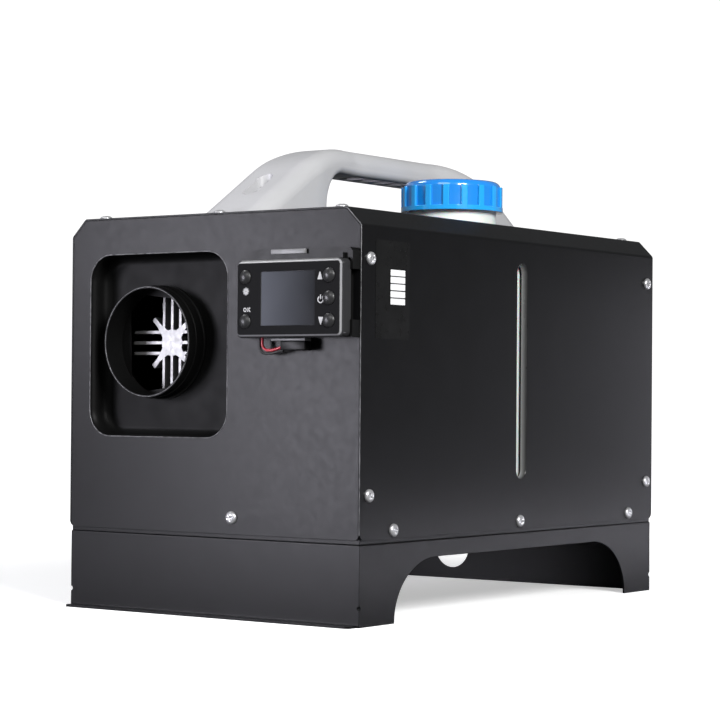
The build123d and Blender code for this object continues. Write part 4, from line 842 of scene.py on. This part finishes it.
# ---------------------------------------------------------------- latches of the controller's holder
def block(low, high, rim):
    """Block between two corners with bevelled rims, as loose geometry."""
    shape = bmesh.new()
    bmesh.ops.create_cube(shape, size=1)
    for vert in shape.verts:
        vert.co = Vector([low[k] + (vert.co[k] + 0.5) * (high[k] - low[k]) for k in range(3)])
    bmesh.ops.bevel(shape, geom=shape.edges[:], offset=rim, segments=3, profile=0.5, affect="EDGES")
    shape.verts.ensure_lookup_table()
    verts = [vert.co.copy() for vert in shape.verts]
    faces = [tuple(vert.index for vert in face.verts) for face in shape.faces]
    shape.free()
    return verts, faces


LATCH_LEFT = 58.25 * MM
LATCH_RIGHT = 85.75 * MM
UPPER_LATCH_FRONT = -192.5 * MM
UPPER_LATCH_REAR = -190.3 * MM
UPPER_LATCH_BOTTOM = 235.1 * MM
UPPER_LATCH_TOP = 238.4 * MM
UPPER_LATCH_RIM = 0.5 * MM
LOWER_LATCH_FRONT = -191.7 * MM
LOWER_LATCH_REAR = -184.8 * MM
LOWER_LATCH_BOTTOM = 180 * MM
LOWER_LATCH_TOP = 181.8 * MM
LOWER_LATCH_RIM = 0.4 * MM
PLUG_RIM = 0.6 * MM

upper_verts, upper_faces = block(
    (LATCH_LEFT, UPPER_LATCH_FRONT, UPPER_LATCH_BOTTOM),
    (LATCH_RIGHT, UPPER_LATCH_REAR, UPPER_LATCH_TOP),
    UPPER_LATCH_RIM,
)
lower_verts, lower_faces = block(
    (LATCH_LEFT, LOWER_LATCH_FRONT, LOWER_LATCH_BOTTOM),
    (LATCH_RIGHT, LOWER_LATCH_REAR, LOWER_LATCH_TOP),
    LOWER_LATCH_RIM,
)
latch_verts = upper_verts + lower_verts
latch_faces = upper_faces + [tuple(len(upper_verts) + k for k in face) for face in lower_faces]
latches = new_piece("latch_bars", latch_verts, latch_faces, latch_plastic, "housing")
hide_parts("holder_latches")

plug_low, plug_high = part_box("lead_connector")
plug_verts, plug_faces = block(plug_low, (LATCH_RIGHT, plug_high[1], LOWER_LATCH_BOTTOM), PLUG_RIM)
plug_piece = new_piece("lead_plug", plug_verts, plug_faces, holder_plastic, "housing")
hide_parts("lead_connector")


# ---------------------------------------------------------------- white marks on the controller
def flat_mark(name, outlines, place, face_way, material, thickness):
    """Thin raised shapes on an upright face; outlines are in that face's own right and up."""
    outward = Vector(face_way)
    across_face = Vector((0, 0, 1)).cross(outward)
    verts = []
    faces = []
    for outline in outlines:
        count = len(outline)
        offset = len(verts)
        for level in (0, thickness):
            for x, z in outline:
                verts.append(Vector(place) + across_face * x + Vector((0, 0, z)) + outward * level)
        faces.append(tuple(range(offset + count, offset + 2 * count)))
        for index in range(count):
            after = (index + 1) % count
            faces.append((offset + index, offset + after, offset + count + after, offset + count + index))
    made = new_piece(name, verts, faces, material, "housing")
    for polygon in made.data.polygons:
        polygon.use_smooth = False
    return made


def moved(outline, x, z):
    """Outline shifted by x and z."""
    return [(px + x, pz + z) for px, pz in outline]


def arc(radius, start, end, steps, squeeze=1.0):
    """Points on an arc, in degrees, with its width squeezed."""
    points = []
    for step in range(steps + 1):
        angle = math.radians(start + (end - start) * step / steps)
        points.append((squeeze * radius * math.cos(angle), radius * math.sin(angle)))
    return points


def band(radius, stroke, start, end, steps, squeeze=1.0):
    """Arc with the width of a pen stroke, as short four-cornered pieces."""
    outer = arc(radius, start, end, steps, squeeze)
    inner = arc(radius - stroke, start, end, steps, squeeze)
    return [[inner[i], outer[i], outer[i + 1], inner[i + 1]] for i in range(steps)]


def bar(x1, z1, x2, z2, stroke):
    """Straight pen stroke between two points."""
    length = math.hypot(x2 - x1, z2 - z1)
    side_x = -(z2 - z1) / length * stroke / 2
    side_z = (x2 - x1) / length * stroke / 2
    return [
        (x1 - side_x, z1 - side_z),
        (x2 - side_x, z2 - side_z),
        (x2 + side_x, z2 + side_z),
        (x1 + side_x, z1 + side_z),
    ]


INK = 0.04 * MM
RING_STEPS = 28


def ink_mark(name, outlines, x, z):
    """White printed mark on the controller's face."""
    return flat_mark(name, outlines, (x, CASE_FACE, z), (0, -1, 0), white_ink, INK)


ARROW_HALF_WIDTH = 1.95 * MM
ARROW_TIP_HALF_WIDTH = 0.3 * MM
ARROW_FOOT = -2.3 * MM
ARROW_TIP = 2.5 * MM
up_arrow = [
    (-ARROW_HALF_WIDTH, ARROW_FOOT),
    (ARROW_HALF_WIDTH, ARROW_FOOT),
    (ARROW_TIP_HALF_WIDTH, ARROW_TIP),
    (-ARROW_TIP_HALF_WIDTH, ARROW_TIP),
]
down_arrow = [(x, -z) for x, z in reversed(up_arrow)]
ink_mark("up_mark", [up_arrow], 102.4 * MM, 220.4 * MM)
ink_mark("down_mark", [down_arrow], 103.2 * MM, 192.3 * MM)

POWER_STROKE = 0.8 * MM
power_ring = band(2.4 * MM, POWER_STROKE, 120, 420, 30)
power_bar = bar(0, 0.2 * MM, 0, 3.1 * MM, POWER_STROKE)
ink_mark("power_mark", power_ring + [power_bar], 103 * MM, 205.5 * MM)

GEAR_TEETH = 8
GEAR_ROOT = 1.6 * MM
GEAR_TIP = 2.4 * MM
GEAR_TOOTH_WIDTH = 1 * MM
gear_outlines = band(1.95 * MM, GEAR_ROOT, 0, 360, RING_STEPS)
for tooth in range(GEAR_TEETH):
    angle = 2 * math.pi * tooth / GEAR_TEETH
    way_x = math.cos(angle)
    way_z = math.sin(angle)
    tooth_foot = (GEAR_ROOT * way_x, GEAR_ROOT * way_z)
    tooth_tip = (GEAR_TIP * way_x, GEAR_TIP * way_z)
    gear_outlines.append(bar(*tooth_foot, *tooth_tip, GEAR_TOOTH_WIDTH))
ink_mark("gear_mark", gear_outlines, 43.5 * MM, 211.7 * MM)

LETTER_STROKE = 0.65 * MM
STEM_STROKE = 0.7 * MM
letter_o = band(1.4 * MM, LETTER_STROKE, 0, 360, RING_STEPS, 0.95)
letter_k = [
    bar(-0.9 * MM, -1.4 * MM, -0.9 * MM, 1.4 * MM, STEM_STROKE),
    bar(-0.75 * MM, -0.1 * MM, 0.95 * MM, 1.35 * MM, LETTER_STROKE),
    bar(-0.35 * MM, 0.2 * MM, 1.05 * MM, -1.35 * MM, LETTER_STROKE),
]
ok_letters = [moved(stroke, -1.5 * MM, 0) for stroke in letter_o]
ok_letters += [moved(stroke, 1.75 * MM, 0) for stroke in letter_k]
ink_mark("ok_mark", ok_letters, 44.3 * MM, 199.9 * MM)


# ---------------------------------------------------------------- plate on the right side
PLATE_HALF_WIDTH = 19 * MM
PLATE_HALF_HEIGHT = 31.4 * MM
PLATE_RADIUS = 1.5 * MM
PLATE_THICKNESS = 0.12 * MM
PLATE_Y = -147.75 * MM
PLATE_Z = 213.1 * MM
CELL_HALF_WIDTH = 8.2 * MM
CELL_HALF_HEIGHT = 1.95 * MM
CELL_RADIUS = 0.5 * MM
CELL_THICKNESS = 0.03 * MM
CELL_ROWS = 5
CELL_PITCH = 4.6 * MM
CELL_Y = -142.2 * MM
CELL_Z = 215 * MM

flat_mark(
    "side_sticker",
    [rounded_box(PLATE_HALF_WIDTH, PLATE_HALF_HEIGHT, PLATE_RADIUS, 6)],
    (BODY_HALF_WIDTH, PLATE_Y, PLATE_Z),
    (1, 0, 0),
    label_film,
    PLATE_THICKNESS,
)
cell = rounded_box(CELL_HALF_WIDTH, CELL_HALF_HEIGHT, CELL_RADIUS, 4)
flat_mark(
    "sticker_cells",
    [moved(cell, 0, ((CELL_ROWS - 1) / 2 - row) * CELL_PITCH) for row in range(CELL_ROWS)],
    (BODY_HALF_WIDTH + PLATE_THICKNESS, CELL_Y, CELL_Z),
    (1, 0, 0),
    label_print,
    CELL_THICKNESS,
)
